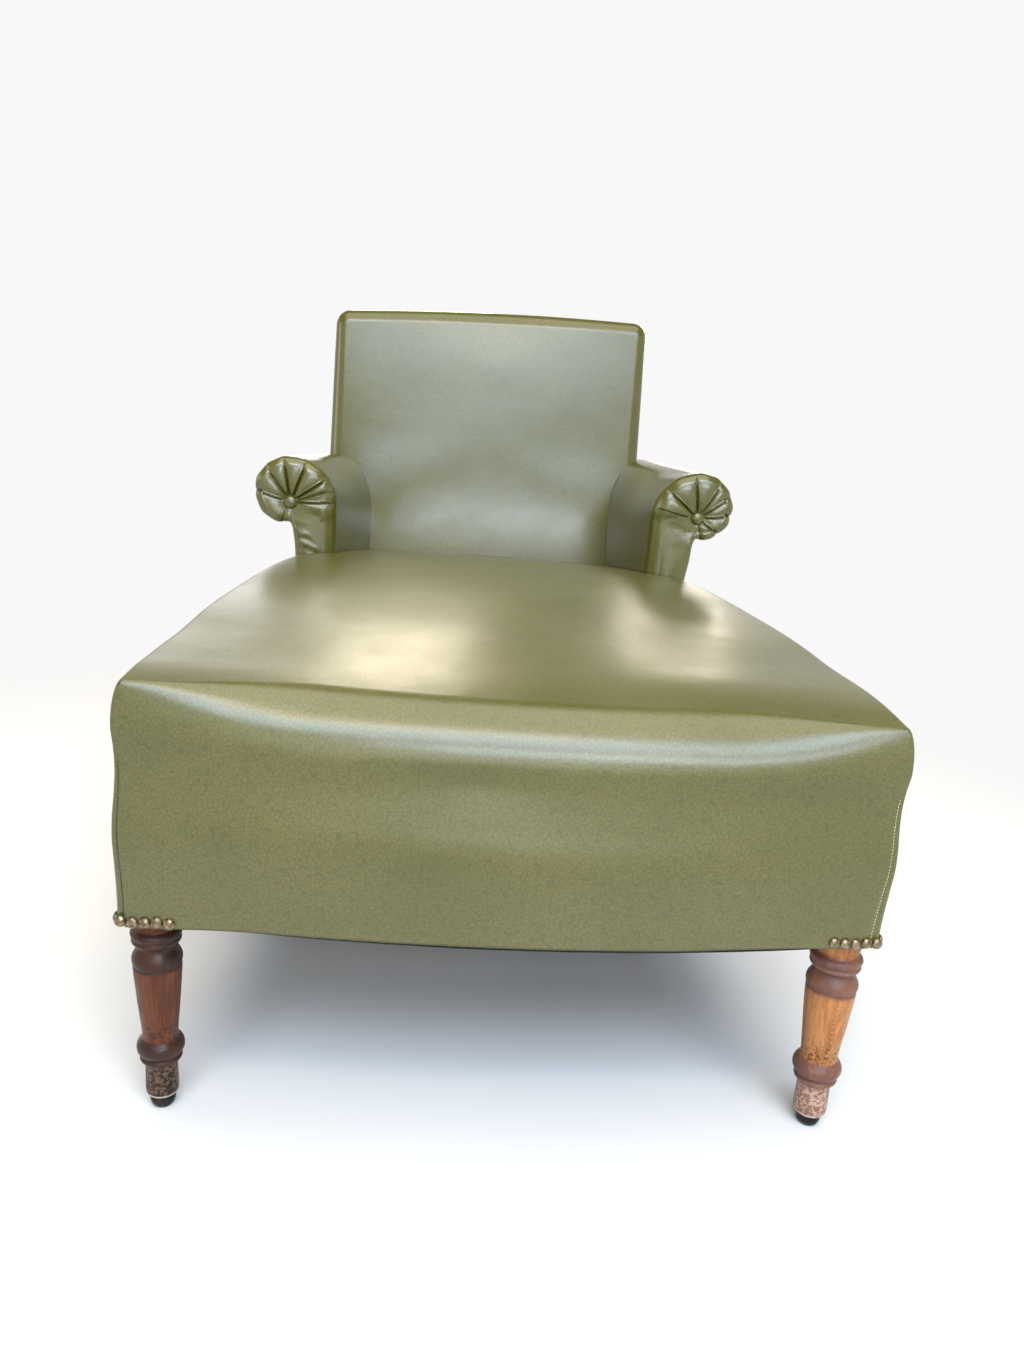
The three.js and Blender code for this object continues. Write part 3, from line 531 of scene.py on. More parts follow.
# Heights on a front leg in metres: the vase, its speckled foot, the beads over and under it, the top of
# the worn foot, the pale rim above the glide and the dark edge of the glide
VASE = (0.096, 0.158)
SPECKLED = (0.088, 0.118)
UPPER_BEADS = (0.161, 0.204)
LOWER_BEADS = (0.053, 0.081)
FOOT_TOP = (0.050, 0.053)
FOOT_RIM = (0.0160, 0.0180)
GLIDE_EDGE = (0.0145, 0.0158)
# The colour of painted shade in the hollows of the timber
WOOD_HOLLOW_SHADE = (0.012, 0.007, 0.005)
# The colour of painted shade in the hollows of a front leg's turning
LEG_HOLLOW_SHADE = (0.010, 0.006, 0.005)
RIM_COLOUR = (0.62, 0.52, 0.40)
GLIDE_EDGE_COLOUR = (0.014, 0.012, 0.011)
# The arches in the vase's grain: how steep they are, how closely they follow each other
ARCH_STEEPNESS = 260.0
ARCH_PITCH = 1050.0


def between(look, value, limits, soft):
    """1 where the value lies between the two limits, with soft edges."""
    low, high = limits
    above = look.ranged(value, low - soft, low + soft)
    return look.times(above, look.ranged(value, high - soft, high + soft, 1.0, 0.0))


def arched_grain(look, side, height):
    """Nested arches of the grain on the front of the right leg's vase."""
    across = look.math("SUBTRACT", look.part(look.place, "X"), side * LEG_X * MM)
    level = look.math("SUBTRACT", height, look.times(across, across, ARCH_STEEPNESS))
    level = look.math("ADD", level, look.times(look.noise(30.0, 2.0), 0.012))
    return look.ranged(look.math("SINE", look.times(level, ARCH_PITCH)), 0.55, 1.0)


def turned_leg_look(name, side, vase, vase_light, bead, foot, foot_light, speckle):
    """The wood of a front leg: a rubbed vase, darker beads and a foot with its finish worn through."""
    look = Look(name, 0.40)
    height = look.part(look.place, "Z")
    grain, base = wood_grain(look, vase, vase_light, 30.0)
    if side > 0:
        arches = look.times(arched_grain(look, side, height), between(look, height, VASE, 0.004), 0.45)
        base = look.blend(arches, base, tuple(1.35 * c for c in vase_light))
    base = with_pores(look, base, vase, 0.5, 0.35)
    low_vase = look.ranged(height, *SPECKLED, 1.0, 0.0)
    spots = look.ranged(look.noise(330.0, 3.0), 0.52, 0.60)
    base = look.blend(look.times(spots, low_vase, 0.8), base, speckle)
    beads = look.math("MAXIMUM", between(look, height, UPPER_BEADS, 0.002),
                      between(look, height, LOWER_BEADS, 0.002))
    uneven = look.ranged(look.noise(50.0, 3.0), 0.3, 0.6, 0.65, 1.0)
    base = look.blend(look.times(beads, uneven), base, bead)
    worn = look.blend(look.ranged(look.noise(240.0, 4.0, 0.6), 0.44, 0.58), foot, foot_light)
    base = look.blend(look.ranged(height, *FOOT_TOP, 1.0, 0.0), base, worn)
    edges = look.node("ShaderNodeNewGeometry").outputs["Pointiness"]
    patches = look.ranged(look.noise(90.0, 4.0), 0.40, 0.6)
    base = look.blend(look.times(look.ranged(edges, 0.51, 0.57), patches, 0.6), base, foot_light)
    # Painted shade: hollows of the turning, where Pointiness is low, are darkened
    base = look.blend(look.ranged(edges, 0.42, 0.49, 0.85, 0.0), base, LEG_HOLLOW_SHADE)
    chipped = look.ranged(look.noise(60.0), 0.35, 0.5)
    base = look.blend(look.times(between(look, height, FOOT_RIM, 0.0007), chipped), base, RIM_COLOUR)
    base = look.blend(look.ranged(height, *GLIDE_EDGE, 0.9, 0.0), base, GLIDE_EDGE_COLOUR)
    look.set("Specular IOR Level", 0.28)
    return finish_wood(look, base, grain, 0.30, 0.4)


seat_vinyl = vinyl_look("olive_vinyl_seat", 0.04, 0.30, 0.95, 0.7)
back_vinyl = vinyl_look("olive_vinyl_back", 0.03, 0.24, 0.7, 0.0)
arm_vinyl = vinyl_look("olive_vinyl_arm", 0.02, 0.25, 0.9, 0.0)
dark_wood = wood_look("dark_wood", (0.050, 0.018, 0.010), (0.115, 0.042, 0.022), (0.25, 0.12, 0.06), 0.5)
warm_wood = wood_look("warm_wood", (0.230, 0.080, 0.028), (0.430, 0.180, 0.070), (0.55, 0.28, 0.14), 0.6)
left_leg_wood = turned_leg_look(
    "dark_turned_wood", -1, (0.080, 0.021, 0.007), (0.165, 0.046, 0.016), (0.034, 0.015, 0.010),
    (0.015, 0.009, 0.007), (0.150, 0.080, 0.045), (0.020, 0.009, 0.005))
right_leg_wood = turned_leg_look(
    "warm_turned_wood", 1, (0.33, 0.115, 0.032), (0.56, 0.235, 0.080), (0.16, 0.070, 0.052),
    (0.26, 0.125, 0.085), (0.56, 0.36, 0.27), (0.060, 0.022, 0.012))
frame_timber = wood_look("frame_timber", (0.36, 0.23, 0.12), (0.47, 0.32, 0.18), (0.5, 0.36, 0.22), 0.1)
web_cloth = cloth_look("web_cloth", (0.34, 0.27, 0.16), (0.16, 0.12, 0.07), 1.6)
hessian = cloth_look("hessian", (0.42, 0.31, 0.17), (0.16, 0.11, 0.06), 2.2)
dust_cloth = cloth_look("dust_cloth", (0.020, 0.019, 0.018), (0.006, 0.006, 0.006), 0.8)
spring_steel = metal_look("spring_steel", (0.42, 0.43, 0.44), (0.22, 0.20, 0.18), 0.35, 90.0)
antique_brass = metal_look("antique_brass", (0.34, 0.27, 0.17), (0.13, 0.09, 0.055), 0.30, 260.0)
glide_metal = metal_look("glide_metal", (0.050, 0.045, 0.040), (0.020, 0.018, 0.016), 0.45, 200.0)


def thread_look(name, shade, light):
    look = Look(name, 0.55)
    look.set("Base Color", look.blend(look.noise(700.0), shade, light))
    return look.material


seam_thread = thread_look("seam_thread", (0.50, 0.47, 0.20), (0.68, 0.62, 0.34))
# The same seam thread darkened for the left front corner: painted shade, as that corner lies in shade
shaded_seam_thread = thread_look("shaded_seam_thread", (0.030, 0.028, 0.012), (0.060, 0.055, 0.025))

# Seat


def edge_depth(from_corner):
    """How far the rolled edge reaches inward, less near a corner."""
    return mix(CORNER_DRAW_IN, FRONT_ROLL_DEPTH, smooth(from_corner, 0, CORNER_REACH) ** 0.8)


SEAT_COLUMNS = 80
NOTCH_COLUMN = 52
SEAT_ROWS = 110
REAR_ROWS = 44
ROLL_RINGS = 14
WALL_RINGS = 46
SIDE_TUCK = 40
# The rear edge of the seat's front part, where it meets the arm fronts: its inner end and its length
NOTCH_START = INNER_FRONT - ARM_TUCK
NOTCH_SPAN = ARM_HALF_WIDTH - SIDE_TUCK - NOTCH_START
NOTCH_SHARE = NOTCH_START / (ARM_HALF_WIDTH - SIDE_TUCK)
# How far that edge ends inside the seat's side when it is tucked under an arm front
NOTCH_END = 6
# How far behind the corner the side's points are evened out, and how far ahead of the arm they turn in
CORNER_FAIRED = 90
ARM_NEARING = 70
# How far the roll drops beside the arms and before the back
INNER_TUCK_DROP = 16
REAR_TUCK_DROP = 18
FRONT_CREST = FRONT_HALF_WIDTH - CORNER_DRAW_IN
ARM_LINE = ARM_START - CLEAR

# The rolled edge along the sides: it stays narrow near the front and softens towards the arms
side_depth = curve_through([0, 80, 200, 400, 700, ARM_START], [CORNER_DRAW_IN, 13, 18, 24, 34, 40])
side_roll_height = curve_through([0, 80, 200, 400, 700, ARM_START], [EDGE_ROLL, 36, 34, 36, 42, 45])
side_bulge = curve_through([0, 100, 300, 600, ARM_START], [0, 3, 5, 4, 0])


def seat_columns():
    """Places across the seat from -1 to 1, close together at the corners and one on each arm's face."""
    notch = math.asin(NOTCH_SHARE) / QUARTER
    right = np.concatenate([np.linspace(0, notch, NOTCH_COLUMN + 1),
                            np.linspace(notch, 1, SEAT_COLUMNS - NOTCH_COLUMN + 1)[1:]])
    right = np.sin(right * QUARTER)
    return np.concatenate([-right[:0:-1], right])


def seat_bow(share, bow):
    return -bow * (1 - share ** 2)


def crest_half_width(y):
    ahead = side_line(y) + side_bulge(y) - side_depth(y)
    beside = (inner_line(y) - ARM_TUCK) / NOTCH_SHARE
    return np.where(y < ARM_START - ARM_TUCK, ahead, beside)


def seat_grid():
    """Rows of points on the seat top as (x, y), the first at the front crest, and which exist."""
    columns = seat_columns()
    count = len(columns)
    from_corner = (1 - np.abs(columns)) * FRONT_HALF_WIDTH
    front = seat_bow(columns, EDGE_BOW) + edge_depth(from_corner)
    arm_row = ARM_LINE - ARM_TUCK
    rows = []
    for i in range(SEAT_ROWS + 1):
        share = 1 - math.cos(i / SEAT_ROWS * QUARTER)
        y = mix(front, arm_row, share)
        corner_y = mix(CORNER_DRAW_IN, arm_row, share)
        half = mix(FRONT_CREST, crest_half_width(corner_y), smooth(share, 0, 0.002) if i else 0)
        rows.append(np.stack([columns * half, y], 1))
    for i in range(1, REAR_ROWS + 1):
        share = i / REAR_ROWS
        x = columns * crest_half_width(mix(arm_row, SEAT_LENGTH, share))
        rear = back_face(x, SEAT_BACK_HEIGHT) - CLEAR - BACK_TUCK
        rows.append(np.stack([x, mix(arm_row, rear, share)], 1))
    grid = np.array(rows)
    exists = np.ones((len(rows), count), bool)
    exists[SEAT_ROWS + 1:, :SEAT_COLUMNS - NOTCH_COLUMN] = False
    exists[SEAT_ROWS + 1:, SEAT_COLUMNS + NOTCH_COLUMN + 1:] = False
    return columns, grid, exists


def seat_edge_loop():
    """The edge of the seat top as (row, column, kind), once around."""
    last = 2 * SEAT_COLUMNS
    left, right = SEAT_COLUMNS - NOTCH_COLUMN, SEAT_COLUMNS + NOTCH_COLUMN
    end = SEAT_ROWS + REAR_ROWS
    loop = [(0, c, "front") for c in range(last + 1)]
    loop += [(r, last, "side") for r in range(1, SEAT_ROWS + 1)]
    loop += [(SEAT_ROWS, c, "notch") for c in range(last - 1, right, -1)]
    loop += [(r, right, "inner") for r in range(SEAT_ROWS, end)]
    loop += [(end, c, "rear") for c in range(right, left - 1, -1)]
    loop += [(r, left, "inner") for r in range(end - 1, SEAT_ROWS - 1, -1)]
    loop += [(SEAT_ROWS, c, "notch") for c in range(left - 1, -1, -1)]
    loop += [(r, 0, "side") for r in range(SEAT_ROWS - 1, 0, -1)]
    return loop


# Profile of the wall: height above the bottom edge, draw-in of the cover, and bow of the front face
WALL_TOP = 184
wall_draw_in = curve_through(
    [0, 20, 60, 85, 105, 124, 145, 165, WALL_TOP], [0, 0, -1.2, -2, -1.2, 0.5, 1.8, 1.6, 0])
wall_bow = curve_through(
    [0, 30, 60, 96, 130, 160, WALL_TOP], [SEAT_BOW, 33.8, 34.8, 34.6, 31, 27, EDGE_BOW])
# How far the lower edge of the front face stands above the cover's bottom line, across the couch
front_rise = curve_through(
    [-1, -0.9, -0.72, -0.4, 0, 0.4, 0.75, 0.9, 1], [-3.5, -0.5, 5, 7, 7.5, 7.5, 7.5, 5, 3])
# How far back along the sides the lower edge follows that line
SIDE_RISE_REACH = 120
# The seams that run down beside the front corners, by side: share across at the foot and at the top
SEAM_SHARES = {1: (0.968, 0.992), -1: (0.984, 0.996)}
SEAM_TOP = 402
SEAM_SINK = 1.3
SEAM_WIDTH = 2.4
STITCH_PITCH = 3.3
STITCH_LENGTH = 2.3
STITCH_RADIUS = 0.5
STITCH_FOOT = COVER_BOTTOM + 8
STITCH_COUNT = 46
CORNER_RADIUS_LOW = 8
CORNER_RADIUS_TOP = 3
CORNER_RADIUS_ROLL = 2
# Soft dents of the front face: place across, height, reach across, reach up, depth
FRONT_DENTS = [
    (-0.35, 300, 0.22, 40, 1.5), (0.25, 330, 0.2, 30, 1.6), (0.62, 375, 0.16, 18, 1.5),
    (-0.7, 285, 0.12, 45, 1.2), (0.05, 280, 0.15, 35, -1.0), (0.8, 300, 0.12, 50, 1.0),
    (-0.1, 385, 0.1, 14, 1.0), (-0.5, 390, 0.14, 14, -0.8),
]


def round_corner(x, y, corner_x, corner_y, radius):
    """Bends the sharp corner of the plan into an arc. x is on the right hand side."""
    a = np.clip(1 - (corner_x - x) / radius, 0, 1)
    b = np.clip(1 - (y - corner_y) / radius, 0, 1)
    near = (a > 0) & (b > 0)
    bent_a, bent_b = disc_from_square(a, b)
    return (np.where(near, corner_x - radius + radius * bent_a, x),
            np.where(near, corner_y + radius - radius * bent_b, y))


def seam_share(side, z):
    low, top = SEAM_SHARES[side]
    return mix(low, top, smooth(z, COVER_BOTTOM - 40, SEAM_TOP + 40))


def seat_wall_point(kind, share, crest, depth, inset, bow, radius, lift=1.0):
    """Where the cover lies at this inset from the outermost line, for one place of the edge loop."""
    side = np.sign(crest[0]) or 1
    x, y = abs(crest[0]), crest[1]
    if kind == "front":
        x = abs(share) * (FRONT_HALF_WIDTH - CORNER_DRAW_IN * inset / depth)
        y = seat_bow(share, bow) + inset
        x, y = round_corner(x, y, FRONT_HALF_WIDTH - inset, inset, radius)
    elif kind == "side":
        y = y - (CORNER_DRAW_IN - inset) * (1 - smooth(y, CORNER_DRAW_IN, CORNER_FAIRED))
        near_arm = smooth(y, ARM_START - ARM_NEARING, ARM_START - ARM_TUCK)
        y = y + (depth - inset) / depth * (ARM_TUCK - 2) * near_arm
        outer = side_line(y) + side_bulge(y) * lift - inset
        x, y = round_corner(outer, y, outer, inset, radius)
    elif kind == "notch":
        y = crest[1] + depth - inset
        tucked_x = mix(INNER_FRONT, ARM_HALF_WIDTH - NOTCH_END, (x - NOTCH_START) / NOTCH_SPAN)
        x = mix(tucked_x, x, inset / depth)
    elif kind == "inner":
        x = x + depth - inset
        y = y + (depth - inset) * (1 - smooth(y, ARM_START - ARM_TUCK, ARM_START + 40))
    else:
        y = y + depth - inset
        x = x + (depth - inset) * smooth(x, 190, 230) * ARM_TUCK / BACK_TUCK
    return side * x, y


def seat_cover():
    columns, grid, exists = seat_grid()
    index = -np.ones(exists.shape, int)
    index[exists] = np.arange(exists.sum())
    x, y = grid[..., 0][exists], grid[..., 1][exists]
    points = [np.stack([x, y, seat_top(x, y)], 1)]
    faces = []
    for r in range(exists.shape[0] - 1):
        for c in range(exists.shape[1] - 1):
            if exists[r, c] and exists[r + 1, c] and exists[r, c + 1] and exists[r + 1, c + 1]:
                faces.append((index[r, c], index[r, c + 1], index[r + 1, c + 1], index[r + 1, c]))
    loop = seat_edge_loop()
    rings = []
    for ring in range(1, ROLL_RINGS + WALL_RINGS + 2):
        row = []
        for r, c, kind in loop:
            row.append(seat_ring_point(ring, kind, columns[c], grid[r, c]))
        rings.append(row)
    count = exists.sum()
    edge = [index[r, c] for r, c, kind in loop]
    span = len(loop)
    for i in range(span):
        after = (i + 1) % span
        faces.append((edge[after], edge[i], count + i, count + after))
    faces += grid_faces(len(rings), span, True, count)
    points.append(np.array(rings).reshape(-1, 3))
    piece = mesh_piece("seat_cover_sewn", np.concatenate(points), faces, seat_vinyl, weld=0.02)
    return thicken(piece, COVER_THICKNESS)


def roll_size(kind, crest, from_corner):
    """How far the rolled edge reaches inward and how far it drops."""
    if kind == "front":
        rise = smooth(from_corner, 0, CORNER_REACH)
        return edge_depth(from_corner), mix(EDGE_ROLL, FRONT_ROLL_HEIGHT, rise)
    if kind == "side":
        return side_depth(crest[1]), side_roll_height(crest[1])
    if kind == "notch":
        past = (abs(crest[0]) - NOTCH_START) / NOTCH_SPAN
        return ARM_TUCK, mix(INNER_TUCK_DROP, EDGE_ROLL, smooth(past, 0.3, 1.0))
    if kind == "inner":
        return ARM_TUCK, INNER_TUCK_DROP
    return BACK_TUCK, REAR_TUCK_DROP


def front_face_sink(side, share, z):
    """How far the dents and the seams of the front face lie under its smooth form."""
    off_seam = (abs(share) - seam_share(side, z)) * FRONT_HALF_WIDTH / SEAM_WIDTH
    seam = SEAM_SINK * bell(off_seam) * (1 - smooth(z, SEAM_TOP - 20, SEAM_TOP))
    return dented(share, z, FRONT_DENTS) + seam


def seat_ring_point(ring, kind, share, crest):
    """A point of the rolled edge, then of the wall under it."""
    tucked = kind in ("notch", "inner", "rear")
    side = 1 if crest[0] >= 0 else -1
    from_corner = (1 - abs(share)) * FRONT_HALF_WIDTH
    depth, height = roll_size(kind, crest, from_corner)
    last_turn = FRONT_ROLL_END * smooth(from_corner, 20, CORNER_REACH) if kind == "front" else 0.0
    turn = mix(last_turn, QUARTER, max(0.0, 1 - ring / ROLL_RINGS))
    inset = depth * (1 - math.cos(turn))
    radius = mix(CORNER_RADIUS_ROLL, CORNER_RADIUS_TOP, 1 - turn / QUARTER)
    x, y = seat_wall_point(kind, share, crest, depth, inset, EDGE_BOW, radius)
    if ring <= ROLL_RINGS:
        return float(x), float(y), float(seat_top(x, y) - height * (1 - math.sin(turn)))
    down = (ring - ROLL_RINGS) / (WALL_RINGS + 1)
    top = seat_top(x, y) - height * (1 - math.sin(last_turn))
    bottom = TUCK_BOTTOM if tucked else COVER_BOTTOM
    if kind == "front":
        bottom += front_rise(side * abs(share))
    elif kind == "side":
        bottom += front_rise(side) * (1 - smooth(crest[1], 0, SIDE_RISE_REACH))
    z = float(mix(top, bottom, down))
    if tucked:
        return float(x), float(y), z
    place = (1 - down) * WALL_TOP
    radius = mix(CORNER_RADIUS_TOP, CORNER_RADIUS_LOW, smooth(down, 0, 0.8))
    draw_in = wall_draw_in(place) + inset * (1 - smooth(down, 0, 0.3))
    if kind == "front":
        draw_in += front_face_sink(side, share, z)
    lift = smooth(place, 80, WALL_TOP)
    x, y = seat_wall_point(kind, share, crest, depth, draw_in, wall_bow(place), radius, lift)
    return float(x), float(y), z


def front_face_place(share, z):
    """A point on the front face under its roll, at a share across and a height."""
    crest = (share * FRONT_CREST, seat_bow(share, EDGE_BOW))
    top_point = seat_ring_point(ROLL_RINGS, "front", share, crest)
    foot = COVER_BOTTOM + front_rise(share)
    down = (top_point[2] - z) / (top_point[2] - foot)
    return np.array(seat_ring_point(ROLL_RINGS + down * (WALL_RINGS + 1), "front", share, crest))


def corner_stitches(side):
    """Short thread stitches that stand in the seam beside a front corner."""
    points, faces = [], []
    around, rings = 8, 6
    for i in range(STITCH_COUNT):
        z = STITCH_FOOT + i * STITCH_PITCH
        low = front_face_place(side * seam_share(side, z), z)
        high = front_face_place(side * seam_share(side, z + STITCH_LENGTH), z + STITCH_LENGTH)
        along = high - low
        beside = np.array([1.0, 0.0, 0.0]) * STITCH_RADIUS
        out = np.array([0.0, -1.0, 0.0]) * STITCH_RADIUS
        start = len(points)
        for ring in range(rings):
            share = ring / (rings - 1)
            girth = max(math.sin(math.pi * mix(0.12, 0.88, share)), 0.1)
            for step in range(around):
                turn = 2 * math.pi * step / around
                offset = beside * math.cos(turn) * girth + out * (math.sin(turn) * girth + 0.9)
                points.append(low + along * share + offset)
        faces += capped_rings(rings, around, start)
    # The left corner's stitches get the seam thread with painted shade in its colour
    thread = seam_thread if side > 0 else shaded_seam_thread
    return mesh_piece(f"{hand(side)}_corner_stitches", np.array(points), faces, thread)


# Back


BACK_COLUMNS = 64
BACK_FACE_ROWS = 88
BACK_BOTTOM = 310
BACK_SPREAD = 1.008
BACK_SHIFT = -4.6
BACK_LIFT = 2
BACK_TILT = 0.036
BACK_BELLY = 1.5
# Soft dents of the inside of the back: place across, height, reach across, reach up, depth
BACK_DENTS = [(-120, 690, 90, 80, 1.4), (150, 620, 80, 70, 1.2), (30, 780, 110, 50, -1.0)]
# The outside of the back: its half width over the arms, the height from which it has it, how far its
# edge lies inside the rear plane, and the heights over which it joins the lean of the back
OUTSIDE_BACK_HALF_WIDTH = 305.4
OUTSIDE_BACK_FULL = 530
OUTSIDE_BACK_SINK = 3.0
OUTSIDE_BACK_LEANS = (500, 600)
# The height from which the top edge's crown grows, and the heights over which the back's tilt does
CROWN_FROM = 500
BACK_LEANS = (450, 800)


def rounded_back(x, z, half, top, radius):
    """A place on the front view of the back, with the top corners rounded and the top edge crowned."""
    a = np.clip((np.abs(x) - (half - radius)) / radius, 0, 1)
    b = np.clip((z - (top - radius)) / radius, 0, 1)
    near = (a > 0) & (b > 0)
    bent_a, bent_b = disc_from_square(a, b)
    x = np.where(near, np.sign(x) * (half - radius + radius * bent_a), x)
    z = np.where(near, top - radius + radius * bent_b, z)
    return x, z + BACK_RISE * (1 - (x / BACK_HALF_WIDTH) ** 2) * smooth(z, CROWN_FROM, top)


def back_outline_point(s, t, inset):
    """Share across and share up as a place on the front view of the back."""
    half = BACK_HALF_WIDTH - inset
    top = COUCH_HEIGHT - BACK_RISE - inset
    radius = max(BACK_CORNER - inset, 8)
    return settle_back(*rounded_back(s * half, mix(BACK_BOTTOM, top, t), half, top, radius))


def settle_back(x, z):
    """The old back leans a little to its left, its right top corner standing higher."""
    return x * BACK_SPREAD + BACK_SHIFT, z + BACK_LIFT + BACK_TILT * x * smooth(z, *BACK_LEANS)


def inside_back():
    across = np.sin(np.linspace(-1, 1, 2 * BACK_COLUMNS + 1) * QUARTER)
    across = mix(np.linspace(-1, 1, 2 * BACK_COLUMNS + 1), across, 0.6)
    up = np.linspace(0, 1, BACK_FACE_ROWS + 1)
    up = mix(up, np.sin(up * QUARTER), 0.7)
    s, t = np.meshgrid(across, up)
    x, z = back_outline_point(s, t, BACK_EDGE)
    y = rear_plane(z) - BACK_THICKNESS - back_swell(x, z) + dented(x, z, BACK_DENTS)
    columns, rows = len(across), len(up)
    points = [np.stack([x, y, z], -1).reshape(-1, 3)]
    faces = grid_faces(rows, columns)
    loop = [(r, columns - 1) for r in range(rows)]
    loop += [(rows - 1, c) for c in range(columns - 2, 0, -1)]
    loop += [(r, 0) for r in range(rows - 1, -1, -1)]
    s_loop = np.array([across[c] for r, c in loop])
    t_loop = np.array([up[r] for r, c in loop])
    rings = []
    for turn in np.linspace(0, QUARTER, 10)[1:]:
        bx, bz = back_outline_point(s_loop, t_loop, BACK_EDGE * (1 - math.sin(turn)))
        forward = BACK_THICKNESS - BACK_EDGE * (1 - math.cos(turn))
        swell = back_swell(bx, bz) * (1 - math.sin(turn))
        rings.append(np.stack([bx, rear_plane(bz) - forward - swell, bz], 1))
    for share in np.linspace(0, 1, 9)[1:]:
        bx, bz = back_outline_point(s_loop, t_loop, 0)
        forward = mix(BACK_THICKNESS - BACK_EDGE, SKIN, share)
        belly = BACK_BELLY * math.sin(math.pi * share)
        outward = np.where(np.abs(bx) > BACK_HALF_WIDTH - BACK_CORNER, np.sign(bx), 0)
        rings.append(np.stack([bx + belly * outward, rear_plane(bz) - forward, bz], 1))
    count = rows * columns
    edge = [r * columns + c for r, c in loop]
    span = len(loop)
    for i in range(span - 1):
        faces.append((edge[i], edge[i + 1], count + i + 1, count + i))
    faces += grid_faces(len(rings), span, False, count)
    points.append(np.concatenate(rings))
    piece = mesh_piece("inside_back_cover_sewn", np.concatenate(points), faces, back_vinyl, weld=0.02)
    return thicken(piece, COVER_THICKNESS)


def puffed(edge, height, reach):
    """How far a stretched panel stands out, from the distance to its edge."""
    return height * (1 - np.exp(-np.clip(edge, 0, None) / reach))


def panel(name, x, y, z, material):
    points = np.stack([x, y, z], -1).reshape(-1, 3)
    return thicken(mesh_piece(name, points, grid_faces(*z.shape), material), COVER_THICKNESS)


def outside_back():
    heights = [COVER_BOTTOM, RAIL_TOP, 400, PANEL_TOP]
    half_at = curve_through(heights + [OUTSIDE_BACK_FULL, COUCH_HEIGHT],
                            [panel_line(rear_plane(z), z) for z in heights] + [OUTSIDE_BACK_HALF_WIDTH] * 2)
    across = np.sin(np.linspace(-1, 1, 81) * QUARTER)
    s, t = np.meshgrid(across, np.linspace(0, 1, 121))
    top = COUCH_HEIGHT - BACK_RISE
    z = mix(COVER_BOTTOM, top, t)
    half = half_at(z)
    x, z = rounded_back(s * half, z, half, top, BACK_CORNER)
    edge = np.minimum.reduce([half - np.abs(s) * half, z - COVER_BOTTOM, top + BACK_RISE - z])
    rise = smooth(z, *OUTSIDE_BACK_LEANS)
    settled_x, settled_z = settle_back(x, z)
    x, z = mix(x, settled_x, rise), mix(z, settled_z, rise)
    ripple = 0.5 * np.sin(x / 61.0 + 1.3) * np.sin(z / 83.0) * smooth(edge, 5, 60)
    y = rear_plane(z) - OUTSIDE_BACK_SINK + puffed(edge, 3.0, 9.0) + ripple
    return panel("outside_back_sewn", x, y, z, back_vinyl)


def outside_arm(arm):
    """The panel that closes the outside of an arm, under the roll."""
    top = arm.top[0] - 2 * arm.radius - 5
    t, v = np.meshgrid(np.linspace(0, 1, 81), np.linspace(0, 1, 61))
    z = mix(COVER_BOTTOM, top, v)
    front = mix(ARM_START - PANEL_LAP, PANEL_FRONT, smooth(z, STUMP_BOTTOM, STUMP_BOTTOM + 12))
    y = mix(front, rear_plane(z) - SKIN, t)
    edge = np.minimum.reduce([y - front, rear_plane(z) - SKIN - y, z - COVER_BOTTOM, top - z])
    ripple = 0.5 * np.sin(y / 47.0) * np.sin(z / 39.0 + 1.0) * smooth(edge, 5, 40)
    lapped = LAP_LIFT * (1 - smooth(y, ARM_START + CLEAR, ARM_START + CLEAR + 16))
    x = arm.side * (stump_outer(arm, y, z) - 0.2 + puffed(edge, 2.0, 8.0) + ripple + lapped)
    return panel(f"{hand(arm.side)}_outside_arm_sewn", x, y, z, arm_vinyl)


# Arms


STUMP_STATIONS = 44
LOBE_STATIONS = 34
CAP_RINGS = 36
EDGE_RINGS = 12
FRONT_RINGS = 18
FRONT_REACH = 70
REAR_END_TUCK = 3
# How far round the front edge the cover travels, as a share of its radius, up to the outermost line
EDGE_TRAVEL = 0.57
LONG_RINGS = 26
STUMP_BOTTOM = 312
STUMP_WAIST = 440
STUMP_FLARE = 0.107
FILLET = 12
ARM_BACK = 1160
# Towards the back the arch fills out over the arm board
ARCH_FULL = 0.70
ARCH_FULL_FROM = 960
ARCH_FULL_AT = 1120
BUTTON_INWARD = 3
BUTTON_DROP = 20
BUTTON_SINK = 6
BUTTON_SEAT = 5
BUTTON_DISH = 13
# The lobes between pleats: height, and degrees from which one is as high as that; the lip of a pleat
LOBE_HEIGHT = 4.4
WIDE_LOBE = 36
RIDGE_HEIGHT = 1.5
SEAM_PLEAT_DEPTH = 1.6
SEAM_PLEAT_END = 40
# How far the arm's front swells, and the folds of the cover just behind it stand out
CAP_BELLY = 3.5
WRINKLE_HEIGHT = 0.7
PANEL_FRONT = 818
# How far the outside panel laps over the seat's side at the foot, and how far it stands out there
PANEL_LAP = 13
LAP_LIFT = 2.6


@dataclass
class Arm:
    """One scroll arm. It isn't the mirror of the other: the old stuffing has settled unevenly.

    Pairs are sizes at the front and at the back. Angles are degrees up from the outward level, round the
    button. A pleat is (angle, depth, end, side of its lip); a fold is (angle, angle, reach, height); a
    crease is (start share, end share, inner height, outer height, width, depth) across the stump.
    """
    side: int
    centre: tuple
    inner: tuple
    top: tuple
    low: tuple
    radius: float
    waist: float
    first: float
    seam: float
    pleats: list
    folds: list
    creases: list

    @property
    def button_x(self):
        return self.centre[0] - BUTTON_INWARD

    @property
    def button_z(self):
        return self.top[0] - self.radius - BUTTON_DROP


